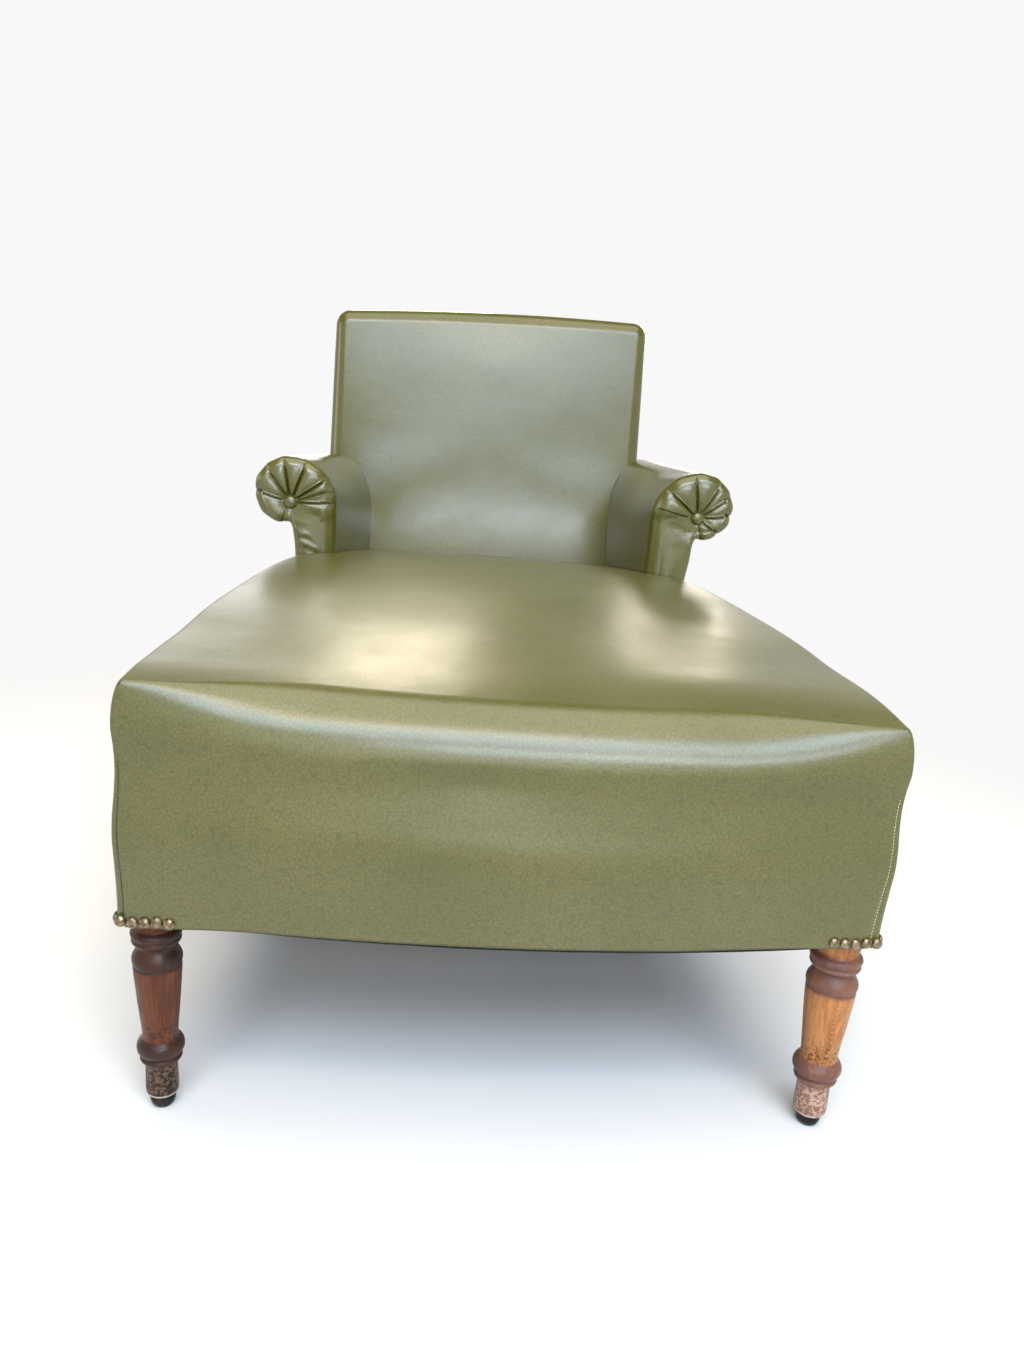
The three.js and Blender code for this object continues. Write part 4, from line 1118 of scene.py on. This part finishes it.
RIGHT_ARM = Arm(
    side=1, centre=(338.5, 326), inner=(261, 244), top=(620, 615), low=(545, 455), radius=53, waist=9,
    first=168, seam=-78,
    pleats=[(141, 2.6, 57, 1), (98, 3.0, 56, 1), (61, 2.6, 56, -1), (37, 2.6, 60, -1), (8, 2.4, 58, -1),
            (-33, 2.0, 40, -1)],
    folds=[(100, 139, 57, 1.6), (56, 66, 58, 0.8)],
    creases=[(0.30, 0.75, 532, 526, 5.0, 1.6), (0.5, 0.95, 500, 488, 6.0, 0.9)])
LEFT_ARM = Arm(
    side=-1, centre=(330.8, 315), inner=(258, 219), top=(600, 586), low=(535, 420), radius=52, waist=17.5,
    first=186, seam=-72,
    pleats=[(178, 2.6, 62, 1), (163, 2.6, 60, -1), (145, 4.2, 64, 1), (111, 4.6, 57, 1), (80, 4.6, 56, 1),
            (53, 4.0, 54, 1), (16, 2.2, 56, -1)],
    folds=[(82, 109, 58, 1.6), (143, 165, 64, 1.2)],
    creases=[(0.62, 0.98, 489, 492, 2.6, 1.6), (0.45, 0.99, 466, 474, 2.4, 2.6),
             (0.30, 0.99, 447, 458, 3.2, 2.4)])


def arm_sizes(arm, y):
    """Centre, inner face, top and foot of the arch of an arm's section at y."""
    share = np.clip((y - ARM_START) / (ARM_BACK - ARM_START), 0, 1.3)
    return [mix(front, back, share) for front, back in (arm.centre, arm.inner, arm.top, arm.low)]


def stump_outer(arm, y, z):
    """The outer face under the roll: waisted, and leaning out towards the roll."""
    drawn_in = mix(SKIN, arm.waist, smooth(z, RAIL_TOP, STUMP_WAIST))
    return side_line(y) - drawn_in + STUMP_FLARE * np.maximum(0, z - STUMP_WAIST)


def arm_section(arm, y, u):
    """The outline of an arm at y. u runs -1 to 0 up the inner face, to 1 over the arch, to 3 round the
    roll and to 4 down the stump."""
    centre, inner, top, low = arm_sizes(arm, y)
    arch = np.radians(180 - 90 * np.clip(u, 0, 1))
    roll = np.radians(90 - 90 * np.clip(u - 1, 0, 2))
    full = mix(1, ARCH_FULL, smooth(y, ARCH_FULL_FROM, ARCH_FULL_AT))
    arch_across = np.abs(np.cos(arch)) ** full
    arch_up = np.abs(np.sin(arch)) ** full
    x = np.where(u < 1, centre - (centre - inner) * arch_across, centre + arm.radius * np.cos(roll))
    z = np.where(u < 1, low + (top - low) * arch_up, top - arm.radius + arm.radius * np.sin(roll))
    z = np.where(u < 0, mix(STUMP_BOTTOM, low, np.clip(1 + u, 0, 1)), z)
    bottom = top - 2 * arm.radius
    stump_z = mix(bottom, STUMP_BOTTOM, np.clip(u - 3, 0, 1) ** 1.4)
    under = np.clip((bottom - stump_z) / FILLET, 0, 1)
    stump_x = mix(centre, stump_outer(arm, y, stump_z), np.sqrt(1 - (1 - under) ** 2))
    return np.where(u > 3, stump_x, x), np.where(u > 3, stump_z, z)


def round_button(arm, x, z):
    """Angle in degrees, from 270 down to -90, and reach of a place from the button."""
    angle = np.degrees(np.arctan2(z - arm.button_z, x - arm.button_x))
    return np.where(angle < -90, angle + 360, angle), np.hypot(x - arm.button_x, z - arm.button_z)


def lobe_places(start, end, count):
    """Places from start to end, crowded at both ends where the pleats are."""
    u = np.linspace(0, 1, count + 1)[1:]
    return mix(start, end, u - 0.86 * np.sin(2 * math.pi * u) / (2 * math.pi))


def arm_stations(arm):
    """Places u around the section, and how many of them run to the button."""
    stops = [arm.first] + [p[0] for p in arm.pleats] + [arm.seam]
    angles = [np.array([arm.first])]
    for start, end in zip(stops, stops[1:]):
        count = max(10, round(LOBE_STATIONS * min(1, (start - end) / 30)))
        angles.append(lobe_places(start, end, count))
    angles = np.concatenate(angles)
    dense = np.linspace(-0.6, 3, 1500)
    dense_angle = round_button(arm, *arm_section(arm, ARM_START, dense))[0]
    order = np.argsort(dense_angle)
    gathered = np.interp(angles, dense_angle[order], dense[order])
    share = np.linspace(0, 1, STUMP_STATIONS + 1)
    inner = mix(-1, gathered[0], share)[:-1]
    outer = mix(gathered[-1], 4, share)[1:]
    return np.concatenate([inner, gathered, outer]), len(gathered)


def arm_cap_centres(arm, gathered):
    """Where each station's line ends in the front: the stump's middle line, or the button."""
    rise = np.linspace(0, 1, STUMP_STATIONS + 1)
    turn = smooth(rise, 0.45, 1.0)
    stump_x = (arm.inner[0] + stump_outer(arm, ARM_START, STUMP_WAIST)) / 2
    spine_x = mix(stump_x, arm.button_x, turn)
    spine_z = mix(STUMP_BOTTOM, arm.button_z, rise)
    return (np.concatenate([spine_x[:-1], np.full(gathered, arm.button_x), spine_x[::-1][1:]]),
            np.concatenate([spine_z[:-1], np.full(gathered, arm.button_z), spine_z[::-1][1:]]))


def profile_normals(x, z):
    dx, dz = np.gradient(x), np.gradient(z)
    length = np.hypot(dx, dz)
    return -dz / length, dx / length


def pleat_height(arm, degrees, reach):
    """How far the gathered cover stands out, at an angle round the button and a reach from it."""
    stops = [arm.first + 14] + [p[0] for p in arm.pleats] + [arm.seam]
    out = np.zeros_like(degrees)
    grow = smooth(reach, 4, 30) * (1 - smooth(reach, 50, 84))
    for start, end in zip(stops, stops[1:]):
        share = np.clip((start - degrees) / (start - end), 0, 1)
        swell = (4 * share * (1 - share)) ** 0.6
        out += LOBE_HEIGHT * min(1.0, (start - end) / WIDE_LOBE) * swell * grow
    for centre, depth, end, lip in arm.pleats + [(arm.seam, SEAM_PLEAT_DEPTH, SEAM_PLEAT_END, 1)]:
        across = np.radians(degrees - centre) * np.maximum(reach, 6) * lip
        steep = bell(across / 0.8)
        gentle = np.exp(-(np.abs(across) / 2.8) ** 1.3)
        slit = np.where(across < 0, steep, gentle)
        ridge = RIDGE_HEIGHT * bell(across + 1.9)
        along = smooth(reach, 6, 15) * (1 - smooth(reach, end - 8, end + 4))
        out += (ridge - depth * slit) * along
    for high, low, fold_reach, height in arm.folds:
        window = smooth(degrees, low - 4, low + 2) * (1 - smooth(degrees, high - 2, high + 4))
        past = reach - fold_reach
        step = bell(past / np.where(past < 0, 2.2, 0.9))
        out += height * (step - 0.9 * bell((past - 2.6) / 1.6)) * window
    return out


def stump_crease(arm, x, z):
    """The folds that run across the front of the stump."""
    out = np.zeros_like(x)
    place = (x - arm.inner[0]) / (stump_outer(arm, ARM_START, z) - arm.inner[0])
    for start, end, inner_z, outer_z, width, depth in arm.creases:
        share = np.clip((place - start) / (end - start), 0, 1)
        off = z - mix(inner_z, outer_z, share) - 3 * np.sin(math.pi * share)
        span = smooth(place, start - 0.12, start + 0.25)
        out += depth * span * (0.8 * bell(off / width - 1.6) - bell(off / width))
    return out


def arm_back_end(x, z):
    """Where the arm's cover ends at the back: on the face of the back, or behind, outside of it."""
    face = np.minimum(back_face(x, z), rear_plane(z) - BACK_THICKNESS + BACK_EDGE) - CLEAR
    return np.where(x < BACK_HALF_WIDTH + CLEAR, face, rear_plane(z) - SKIN - CLEAR)


def front_edge_radius(u):
    """How round the front edge is: soft along the inner face and over the top, tighter round the outside."""
    return curve_through([-1, 0, 1, 2, 3, 3.3, 4], [20, 20, 17, 11, 8, 8, 9])(u)


def arm_wrinkle(arm, u, y):
    """Shallow folds of the cover along the arm, strongest just behind the pleats."""
    waves = np.sin(u * 19 + 1.4 * arm.side + (y - ARM_START) / 70)
    return WRINKLE_HEIGHT * bell((y - ARM_START - 60) / 110) * waves * smooth(u, 0.1, 0.6)


def scroll_arm(arm):
    u, gathered = arm_stations(arm)
    count = len(u)
    edge = front_edge_radius(u)
    front_x, front_z = arm_section(arm, ARM_START, u)
    angle, rim_reach = round_button(arm, front_x, front_z)
    rows = []

    def row_at(y, inset, turn, reach, settled=0.0):
        x, z = arm_section(arm, y, u)
        nx, nz = profile_normals(x, z)
        lift = pleat_height(arm, angle, reach) + arm_wrinkle(arm, u, y) * (1 - settled)
        out = lift * math.cos(turn) - inset
        rows.append(np.stack([x + nx * out, y - lift * math.sin(turn), z + nz * out], 1))

    end = arm_back_end(front_x, front_z)
    for i in range(LONG_RINGS, 0, -1):
        share = i / LONG_RINGS
        tuck = REAR_END_TUCK * smooth(share, 0.965, 1.0)
        row_at(mix(ARM_START + edge + FRONT_REACH, end, share), tuck, 0.0, rim_reach + 200)
    for i in range(FRONT_RINGS, -1, -1):
        away = FRONT_REACH * i / FRONT_RINGS
        row_at(ARM_START + edge + away, 0.0, 0.0, rim_reach + edge * EDGE_TRAVEL + away)
    for i in range(1, EDGE_RINGS + 1):
        turn = i / EDGE_RINGS * QUARTER
        travelled = mix(edge * EDGE_TRAVEL, -edge, i / EDGE_RINGS)
        row_at(ARM_START + edge * (1 - math.sin(turn)), edge * (1 - math.cos(turn)), turn,
               rim_reach + travelled, i / EDGE_RINGS)
    nx, nz = profile_normals(front_x, front_z)
    rim_x, rim_z = front_x - nx * edge, front_z - nz * edge
    centre_x, centre_z = arm_cap_centres(arm, gathered)
    for i in range(1, CAP_RINGS + 1):
        share = i / CAP_RINGS
        x, z = mix(rim_x, centre_x, share), mix(rim_z, centre_z, share)
        degrees, reach = round_button(arm, x, z)
        dish = BUTTON_SINK * bell(reach / BUTTON_DISH)
        belly = CAP_BELLY * (1 - (1 - share) ** 2) * smooth(reach, 18, 60)
        lift = pleat_height(arm, degrees, reach) + stump_crease(arm, x, z) + belly
        rows.append(np.stack([x, ARM_START - lift + dish, z], 1))
    points = np.concatenate(rows)
    points[:, 0] *= arm.side
    faces = grid_faces(len(rows), count)
    # Below the back's corner the rear end is closed down to the stump's foot
    chosen = np.where(rows[0][:, 0] >= BACK_HALF_WIDTH)[0]
    chord = len(points)
    chord_z = np.linspace(rows[0][chosen[0], 2] - 1, STUMP_BOTTOM, len(chosen))
    rear = np.stack([np.full(len(chosen), arm.side * (BACK_HALF_WIDTH + CLEAR)),
                     rear_plane(chord_z) - SKIN - CLEAR, chord_z], 1)
    points = np.concatenate([points, rear])
    for i in range(len(chosen) - 1):
        faces.append((chosen[i], chosen[i] + 1, chord + i + 1, chord + i))
    piece = mesh_piece(f"{hand(arm.side)}_arm_cover_sewn", points, faces, arm_vinyl, weld=0.02)
    return thicken(piece, ARM_COVER_THICKNESS)


# The domed outline of a button: radius and height
BUTTON_OUTLINE = [
    (0.0, 4.6), (3.0, 4.4), (6.0, 3.6), (8.3, 2.3), (9.6, 0.6), (9.9, -1.2), (9.2, -2.8), (7.0, -3.6),
    (0.0, -3.6),
]


def covered_button(arm):
    """A domed button, its cover pulled smooth over the edge."""
    around = 40
    turns = np.linspace(0, 2 * math.pi, around, endpoint=False)
    rows = []
    stops = range(len(BUTTON_OUTLINE))
    reach_at, height_at = (curve_through(stops, values) for values in zip(*BUTTON_OUTLINE))
    for stop in np.linspace(0, stops[-1], 33):
        r = max(reach_at(stop), 0.0)
        y = ARM_START + BUTTON_SINK - BUTTON_SEAT - height_at(stop)
        rows.append(np.stack([arm.side * arm.button_x + r * np.cos(turns), np.full(around, y),
                              arm.button_z + r * np.sin(turns)], 1))
    return mesh_piece(f"{hand(arm.side)}_arm_button_covered", np.concatenate(rows),
                      grid_faces(len(rows), around, True), arm_vinyl, weld=0.01)


# Legs, glides and nails


def lathed(name, outline, x, y, material, around=72, wobble=0.0):
    """A turned piece from radius and height pairs, standing at x, y."""
    turns = np.linspace(0, 2 * math.pi, around, endpoint=False)
    rows = []
    for radius, z in outline:
        r = radius * (1 + wobble * np.sin(2 * turns + z / 40.0))
        rows.append(np.stack([x + r * np.cos(turns), y + r * np.sin(turns), np.full(around, z)], 1))
    return mesh_piece(name, np.concatenate(rows), grid_faces(len(rows), around, True), material, weld=0.005)


# The turned profile of a front leg: height above the floor and radius, from the foot up
LEG_TURNING = [
    (12.3, 0.0), (12.3, 12.6), (13.2, 14.0), (15.0, 15.6), (16.6, 16.6), (18.0, 16.9), (19.5, 17.2),
    (26, 17.3), (38, 17.0), (49, 16.8), (52.6, 16.9), (53.8, 18.2), (54.8, 20.4), (56.0, 21.7),
    (57.5, 22.2), (59.0, 21.6), (60.2, 20.6), (61.2, 20.4), (62.4, 21.3), (64.2, 23.2), (66.6, 24.5),
    (70, 25.0), (73.4, 24.5), (76.2, 23.0), (78.6, 20.9), (80.6, 19.4), (83, 18.7), (87, 18.7),
    (96, 19.5), (110, 20.9), (125, 22.4), (140, 23.7), (152, 24.7), (159, 25.2), (161.6, 25.2),
    (162.8, 24.5), (164.0, 24.5), (165.2, 25.4), (167.4, 26.0), (170, 26.1), (173, 25.4), (176.2, 23.7),
    (179.2, 21.6), (181.8, 20.1), (183.8, 19.7), (185.6, 20.6), (187.0, 23.2), (188.4, 25.0), (190.0, 25.7),
    (191.6, 25.3), (192.8, 24.5), (194.0, 24.7), (195.6, 26.0), (197.6, 26.5), (199.8, 26.0), (201.8, 24.1),
    (203.4, 21.6), (204.8, 20.7), (206.6, 21.3), (209, 22.4), (214, 22.9), (221, 22.2), (228, 21.0),
]
LEFT_LEG_SLIMMER = 0.92
# The old left leg leans: how far its foot stands inward and back
LEFT_FOOT_SHIFT = (3.0, 5.5)


def lean_foot(piece, top):
    """The left leg is straight under the seat and its foot stands a little inward and back."""
    across, back = LEFT_FOOT_SHIFT
    for vertex in piece.data.vertices:
        share = 1 - vertex.co.z / (top * MM)
        vertex.co.x += across * share * MM
        vertex.co.y += back * share * MM


def front_leg(side):
    material = right_leg_wood if side > 0 else left_leg_wood
    name = f"{hand(side)}_turned_leg"
    slimmer = 1.0 if side > 0 else LEFT_LEG_SLIMMER
    fine = []
    for (z, radius), (next_z, next_radius) in zip(LEG_TURNING, LEG_TURNING[1:]):
        for share in (0, 0.5):
            fine.append((mix(radius, next_radius, share) * slimmer, mix(z, next_z, share)))
    top, radius = LEG_TURNING[-1]
    fine += [(radius * slimmer, top), (0.0, top)]
    leg = lathed(name, fine, side * LEG_X, LEG_Y, material, 96, 0.004)
    soften = leg.modifiers.new("soften", "SMOOTH")
    soften.factor = 0.5
    soften.iterations = 2
    bake_modifiers(leg)
    if side < 0:
        lean_foot(leg, top)
    half = LEG_BLOCK / 2 - 0.3
    corners = [(-half, -half), (half, -half), (half, half), (-half, half)]
    points = [(side * LEG_X + x, LEG_Y + y, z) for z in (top + 0.2, RAIL_TOP) for x, y in corners]
    block = mesh_piece(name + "_block", points, capped_rings(2, len(corners)), material)
    bevelled(block, 1.5)
    block.parent = leg
    block.matrix_parent_inverse = Matrix.Identity(4)
    return leg


def glide(side, rear):
    outline = [(0, 0), (7.4, 0), (9.4, 0.8), (11, 2.8), (12, 5.4), (12.4, 8), (12.4, 11), (12, 12), (0, 12)]
    if rear:
        foot_rear = rear_plane(COVER_BOTTOM) - SKIN + REAR_FOOT_KICK
        y = foot_rear - REAR_FOOT / 2
        x = side_line(y) - SKIN - REAR_FOOT / 2
    else:
        x, y = LEG_X, LEG_Y
    name = f"{hand(side)}_{'rear' if rear else 'front'}_glide_turned"
    made = lathed(name, outline, side * x, y, glide_metal, 48)
    if side < 0 and not rear:
        lean_foot(made, LEG_TURNING[-1][0])
    return made


def rear_leg(side):
    """The raked leg and post in one timber."""
    def ring(z, width, lean, kick, depth):
        rear = rear_plane(z) - SKIN + kick
        front = rear - depth
        corners = []
        for y in (front, rear):
            outer = mix(side_line(y), BACK_HALF_WIDTH, lean) - SKIN
            corners.append((outer - width, outer, y))
        (front_in, front_out, y0), (rear_in, rear_out, y1) = corners
        return [(front_in, y0, z), (front_out, y0, z), (rear_out, y1, z), (rear_in, y1, z)]

    foot = GLIDE_HEIGHT + 0.3
    kick = REAR_FOOT_KICK + rear_plane(COVER_BOTTOM) - rear_plane(foot)
    rings = []
    for down in np.linspace(1, 0, 13):
        rings.append(ring(mix(COVER_BOTTOM, foot, down), mix(POST_WIDTH, REAR_FOOT, down), 0,
                          kick * down ** 1.25, mix(POST_DEPTH, REAR_FOOT, down)))
    for z, lean in ((RAIL_TOP, 0), (POST_LEAN_TOP, 1), (POST_TOP, 1)):
        rings.append(ring(z, POST_WIDTH, lean, 0, POST_DEPTH))
    points = np.array(rings).reshape(-1, 3)
    points[:, 0] *= side
    leg = mesh_piece(f"{hand(side)}_rear_leg_shaped", points, capped_rings(len(rings), 4),
                     warm_wood if side > 0 else dark_wood)
    for polygon in leg.data.polygons:
        polygon.use_smooth = False
    return bevelled(leg, 2.5)


def nail_row(side, along_side):
    """Domed heads that touch, on the cover over a front leg."""
    around = 24
    turns = np.linspace(0, 2 * math.pi, around, endpoint=False)
    points, faces = [], []
    for i in range(NAILS_PER_ROW):
        along = (i - (NAILS_PER_ROW - 1) / 2) * NAIL_PITCH
        if along_side:
            y = LEG_Y + along
            height = COVER_BOTTOM + front_rise(side) * (1 - smooth(y, 0, SIDE_RISE_REACH)) + NAIL_RADIUS
            origin = np.array([side_line(y) + 0.3, y, height])
            outward = np.array([1.0, (FRONT_HALF_WIDTH - ARM_HALF_WIDTH) / ARM_START, 0])
        else:
            x = LEG_X + along
            across = x / FRONT_HALF_WIDTH
            height = COVER_BOTTOM + front_rise(side * across) + NAIL_RADIUS
            origin = np.array([x, -SEAT_BOW * (1 - across ** 2) - 0.3, height])
            outward = np.array([2 * SEAT_BOW * across / FRONT_HALF_WIDTH, -1.0, 0])
        outward /= np.linalg.norm(outward)
        level = np.cross((0, 0, 1), outward)
        drop = 0.7 * math.sin(i * 2.1 + (3 if along_side else 1) * side)
        start = len(points)
        for turn in np.linspace(0, QUARTER, NAIL_RINGS):
            r, out = NAIL_RADIUS * 0.98 * math.cos(turn), NAIL_HEIGHT * math.sin(turn)
            for angle in turns:
                offset = level * (r * math.cos(angle)) + np.array([0, 0, r * math.sin(angle) + drop])
                points.append(origin + offset + outward * out)
        faces += capped_rings(NAIL_RINGS, around, start, both_ends=False)
    points = np.array(points)
    points[:, 0] *= side
    name = f"{hand(side)}_{'side' if along_side else 'front'}_nails_domed"
    return mesh_piece(name, points, faces, antique_brass, weld=0.005)


def build_couch():
    dress(seat_cover(), "olive_vinyl", "seat_cover", "seat_stuffing", fill=0.9)
    dress(inside_back(), "olive_vinyl", "inside_back_cover", "back_stuffing", fill=0.9)
    dress(outside_back(), "olive_vinyl", "outside_back_cover")
    for side, arm in ((1, RIGHT_ARM), (-1, LEFT_ARM)):
        of = hand(side)
        wood = "warm_wood" if side > 0 else "dark_wood"
        dress(scroll_arm(arm), "olive_vinyl", f"{of}_arm_cover", f"{of}_arm_stuffing", fill=0.9)
        dress(covered_button(arm), "olive_vinyl", f"{of}_arm_button")
        dress(outside_arm(arm), "olive_vinyl", f"{of}_outside_arm_panel")
        dress(front_leg(side), wood, f"{of}_front_leg")
        dress(glide(side, False), "glide_metal", f"{of}_front_glide")
        dress(glide(side, True), "glide_metal", f"{of}_rear_glide")
        dress(rear_leg(side), wood, f"{of}_rear_leg_and_post")
        dress(nail_row(side, False), "antique_brass", f"{of}_front_nail_row")
        dress(nail_row(side, True), "antique_brass", f"{of}_side_nail_row")
        dress(corner_stitches(side), "olive_vinyl")


KEPT_LOOKS = {
    "rail": frame_timber, "block": frame_timber, "arm_post": frame_timber, "arm_board": frame_timber,
    "webbing": web_cloth, "spring_row": spring_steel, "hessian": hessian, "dust_cover": dust_cloth,
}


def dress_kept_nodes():
    """The frame pieces that stay as they are get their procedural materials."""
    for name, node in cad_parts.items():
        if node.hide_render:
            continue
        look = next(made for word, made in KEPT_LOOKS.items() if word in name)
        node.data.materials.clear()
        node.data.materials.append(look)


# Stage, light and camera


FLOOR_HALF = 9.0
# The floor as light meets it and as the camera sees it, and how far out it fades into the background
FLOOR_LIT = (0.70, 0.70, 0.70)
FLOOR_SEEN = (0.91, 0.875, 0.845)
FLOOR_FADE = (0.8, 1.5)
WHITE = (0.94, 0.94, 0.94)
SKY_COLOUR = (0.95, 0.97, 1.0)
CEILING_COLOUR = (1.0, 0.90, 0.66)


def stage_floor():
    """A pale floor that keeps the couch's shadow and fades into the white background."""
    mesh = bpy.data.meshes.new("floor")
    corners = [(x * FLOOR_HALF, y * FLOOR_HALF, 0) for x, y in ((-1, -1), (1, -1), (1, 1), (-1, 1))]
    mesh.from_pydata(corners, [], [(0, 1, 2, 3)])
    floor = bpy.data.objects.new("floor", mesh)
    bpy.context.scene.collection.objects.link(floor)
    look = Look("pale_floor", 0.9)
    path = look.node("ShaderNodeLightPath").outputs
    seen = look.math("MAXIMUM", path["Is Camera Ray"], path["Is Glossy Ray"])
    seen = look.math("MAXIMUM", seen, path["Is Transmission Ray"])
    look.set("Base Color", look.blend(seen, FLOOR_LIT, FLOOR_SEEN))
    look.set("Specular IOR Level", 0.0)
    away = look.node("ShaderNodeVectorMath", {0: look.place}, operation="LENGTH").outputs["Value"]
    white = look.node("ShaderNodeEmission", {"Color": (*WHITE, 1), "Strength": 1.0}).outputs[0]
    surface = look.surface.outputs[0]
    faded = look.mixed(look.ranged(away, *FLOOR_FADE), surface, white)
    output = look.tree.nodes["Material Output"]
    look.feed(output.inputs["Surface"], look.mixed(seen, surface, faded))
    mesh.materials.append(look.material)


def world_light():
    """Plain soft light all round. The background is white, and reflections show it up to a dim ceiling."""
    world = bpy.data.worlds.new("studio")
    bpy.context.scene.world = world
    world.use_nodes = True
    nodes = Nodes(world.node_tree)

    def glow(colour, strength):
        return nodes.node("ShaderNodeBackground", {"Color": (*colour, 1), "Strength": strength}).outputs[0]

    white = glow(WHITE, 1.0)
    height = nodes.part(nodes.node("ShaderNodeTexCoord").outputs["Generated"], "Z")
    above = nodes.ranged(height, math.sin(math.radians(CEILING_FROM)), math.sin(math.radians(CEILING_TO)))
    reflected = nodes.mixed(above, white, glow(CEILING_COLOUR, CEILING))
    path = nodes.node("ShaderNodeLightPath").outputs
    mirrored = nodes.math("MAXIMUM", path["Is Glossy Ray"], path["Is Transmission Ray"])
    lit = nodes.mixed(mirrored, glow(SKY_COLOUR, AMBIENT), reflected)
    seen = nodes.mixed(path["Is Camera Ray"], lit, white)
    nodes.feed(world.node_tree.nodes["World Output"].inputs["Surface"], seen)


AMBIENT = 0.08
CEILING = 0.16
# Degrees above the level between which a reflection of the background turns into the ceiling
CEILING_FROM = 20
CEILING_TO = 30
# Name, place, the point it faces, width and height in metres, power in watts, colour
LAMPS = [
    ("ceiling", (0.0, -0.4, 3.2), (0.0, -0.4, 0.45), 3.0, 3.0, 73, (1.0, 0.94, 0.82)),
    ("window_high", (0.3, -3.55, 3.75), (0.0, -0.66, 0.43), 5.2, 2.0, 238, (0.66, 0.81, 1.0)),
    ("window_top", (-0.2, -2.2, 3.2), (0.0, 0.5, 0.8), 1.8, 0.6, 22, (1.0, 0.84, 0.50)),
    ("window_low", (0.55, -3.0, 1.5), (0.0, 0.4, 0.5), 1.9, 0.40, 33, (0.76, 0.87, 1.0)),
    ("door_front", (0.0, -3.1, 0.7), (0.0, 0.0, 0.45), 1.8, 0.8, 7, (1.0, 0.99, 0.95)),
    ("window_side", (-2.8, 0.1, 1.3), (0.1, 0.2, 0.5), 0.9, 0.9, 8, (1.0, 0.93, 0.82)),
    ("window_behind", (-0.9, 3.0, 1.15), (-0.2, -0.2, 0.45), 1.1, 0.5, 5, (1.0, 0.97, 0.95)),
    ("window_left", (-0.25, 2.8, 1.75), (-0.05, -0.3, 0.45), 0.6, 0.8, 16, (1.0, 0.89, 0.70)),
    ("window_right", (1.0, 2.8, 1.15), (0.25, -0.2, 0.45), 0.40, 0.6, 7, (1.0, 0.88, 0.70)),
]


def add_lamps():
    for name, place, target, width, height, power, colour in LAMPS:
        lamp = bpy.data.lights.new(name, "AREA")
        lamp.shape = "RECTANGLE"
        lamp.size, lamp.size_y = width, height
        lamp.energy = power
        lamp.color = colour
        holder = bpy.data.objects.new(name, lamp)
        holder.location = place
        aim = Vector(target) - Vector(place)
        holder.rotation_euler = aim.to_track_quat("-Z", "Y").to_euler()
        holder.visible_camera = False
        bpy.context.scene.collection.objects.link(holder)


CAMERA_PLACE = (-87.7, -869.3, 714.3)
CAMERA_TURN = math.radians(4.718)
CAMERA_DROP = math.radians(15.466)
CAMERA_ROLL = math.radians(4.509)
FOCAL_PIXELS = 1023.3
PHOTO_LONG_SIDE = 1365
SENSOR = 36


def add_camera():
    data = bpy.data.cameras.new("camera")
    data.sensor_width = SENSOR
    data.lens = FOCAL_PIXELS / PHOTO_LONG_SIDE * SENSOR
    data.clip_start = 0.05
    camera = bpy.data.objects.new("camera", data)
    ahead = Vector((math.sin(CAMERA_TURN) * math.cos(CAMERA_DROP),
                    math.cos(CAMERA_TURN) * math.cos(CAMERA_DROP), -math.sin(CAMERA_DROP)))
    level = Vector((math.cos(CAMERA_TURN), -math.sin(CAMERA_TURN), 0))
    upright = level.cross(ahead)
    right = math.cos(CAMERA_ROLL) * level + math.sin(CAMERA_ROLL) * upright
    up = -math.sin(CAMERA_ROLL) * level + math.cos(CAMERA_ROLL) * upright
    turn = Matrix((right, up, -ahead)).transposed().to_4x4()
    turn.translation = Vector(to_frame(CAMERA_PLACE))
    camera.matrix_world = turn
    bpy.context.scene.collection.objects.link(camera)
    bpy.context.scene.camera = camera


build_couch()
dress_kept_nodes()
stage_floor()
world_light()
add_lamps()
add_camera()
bpy.context.scene.view_settings.view_transform = "Standard"
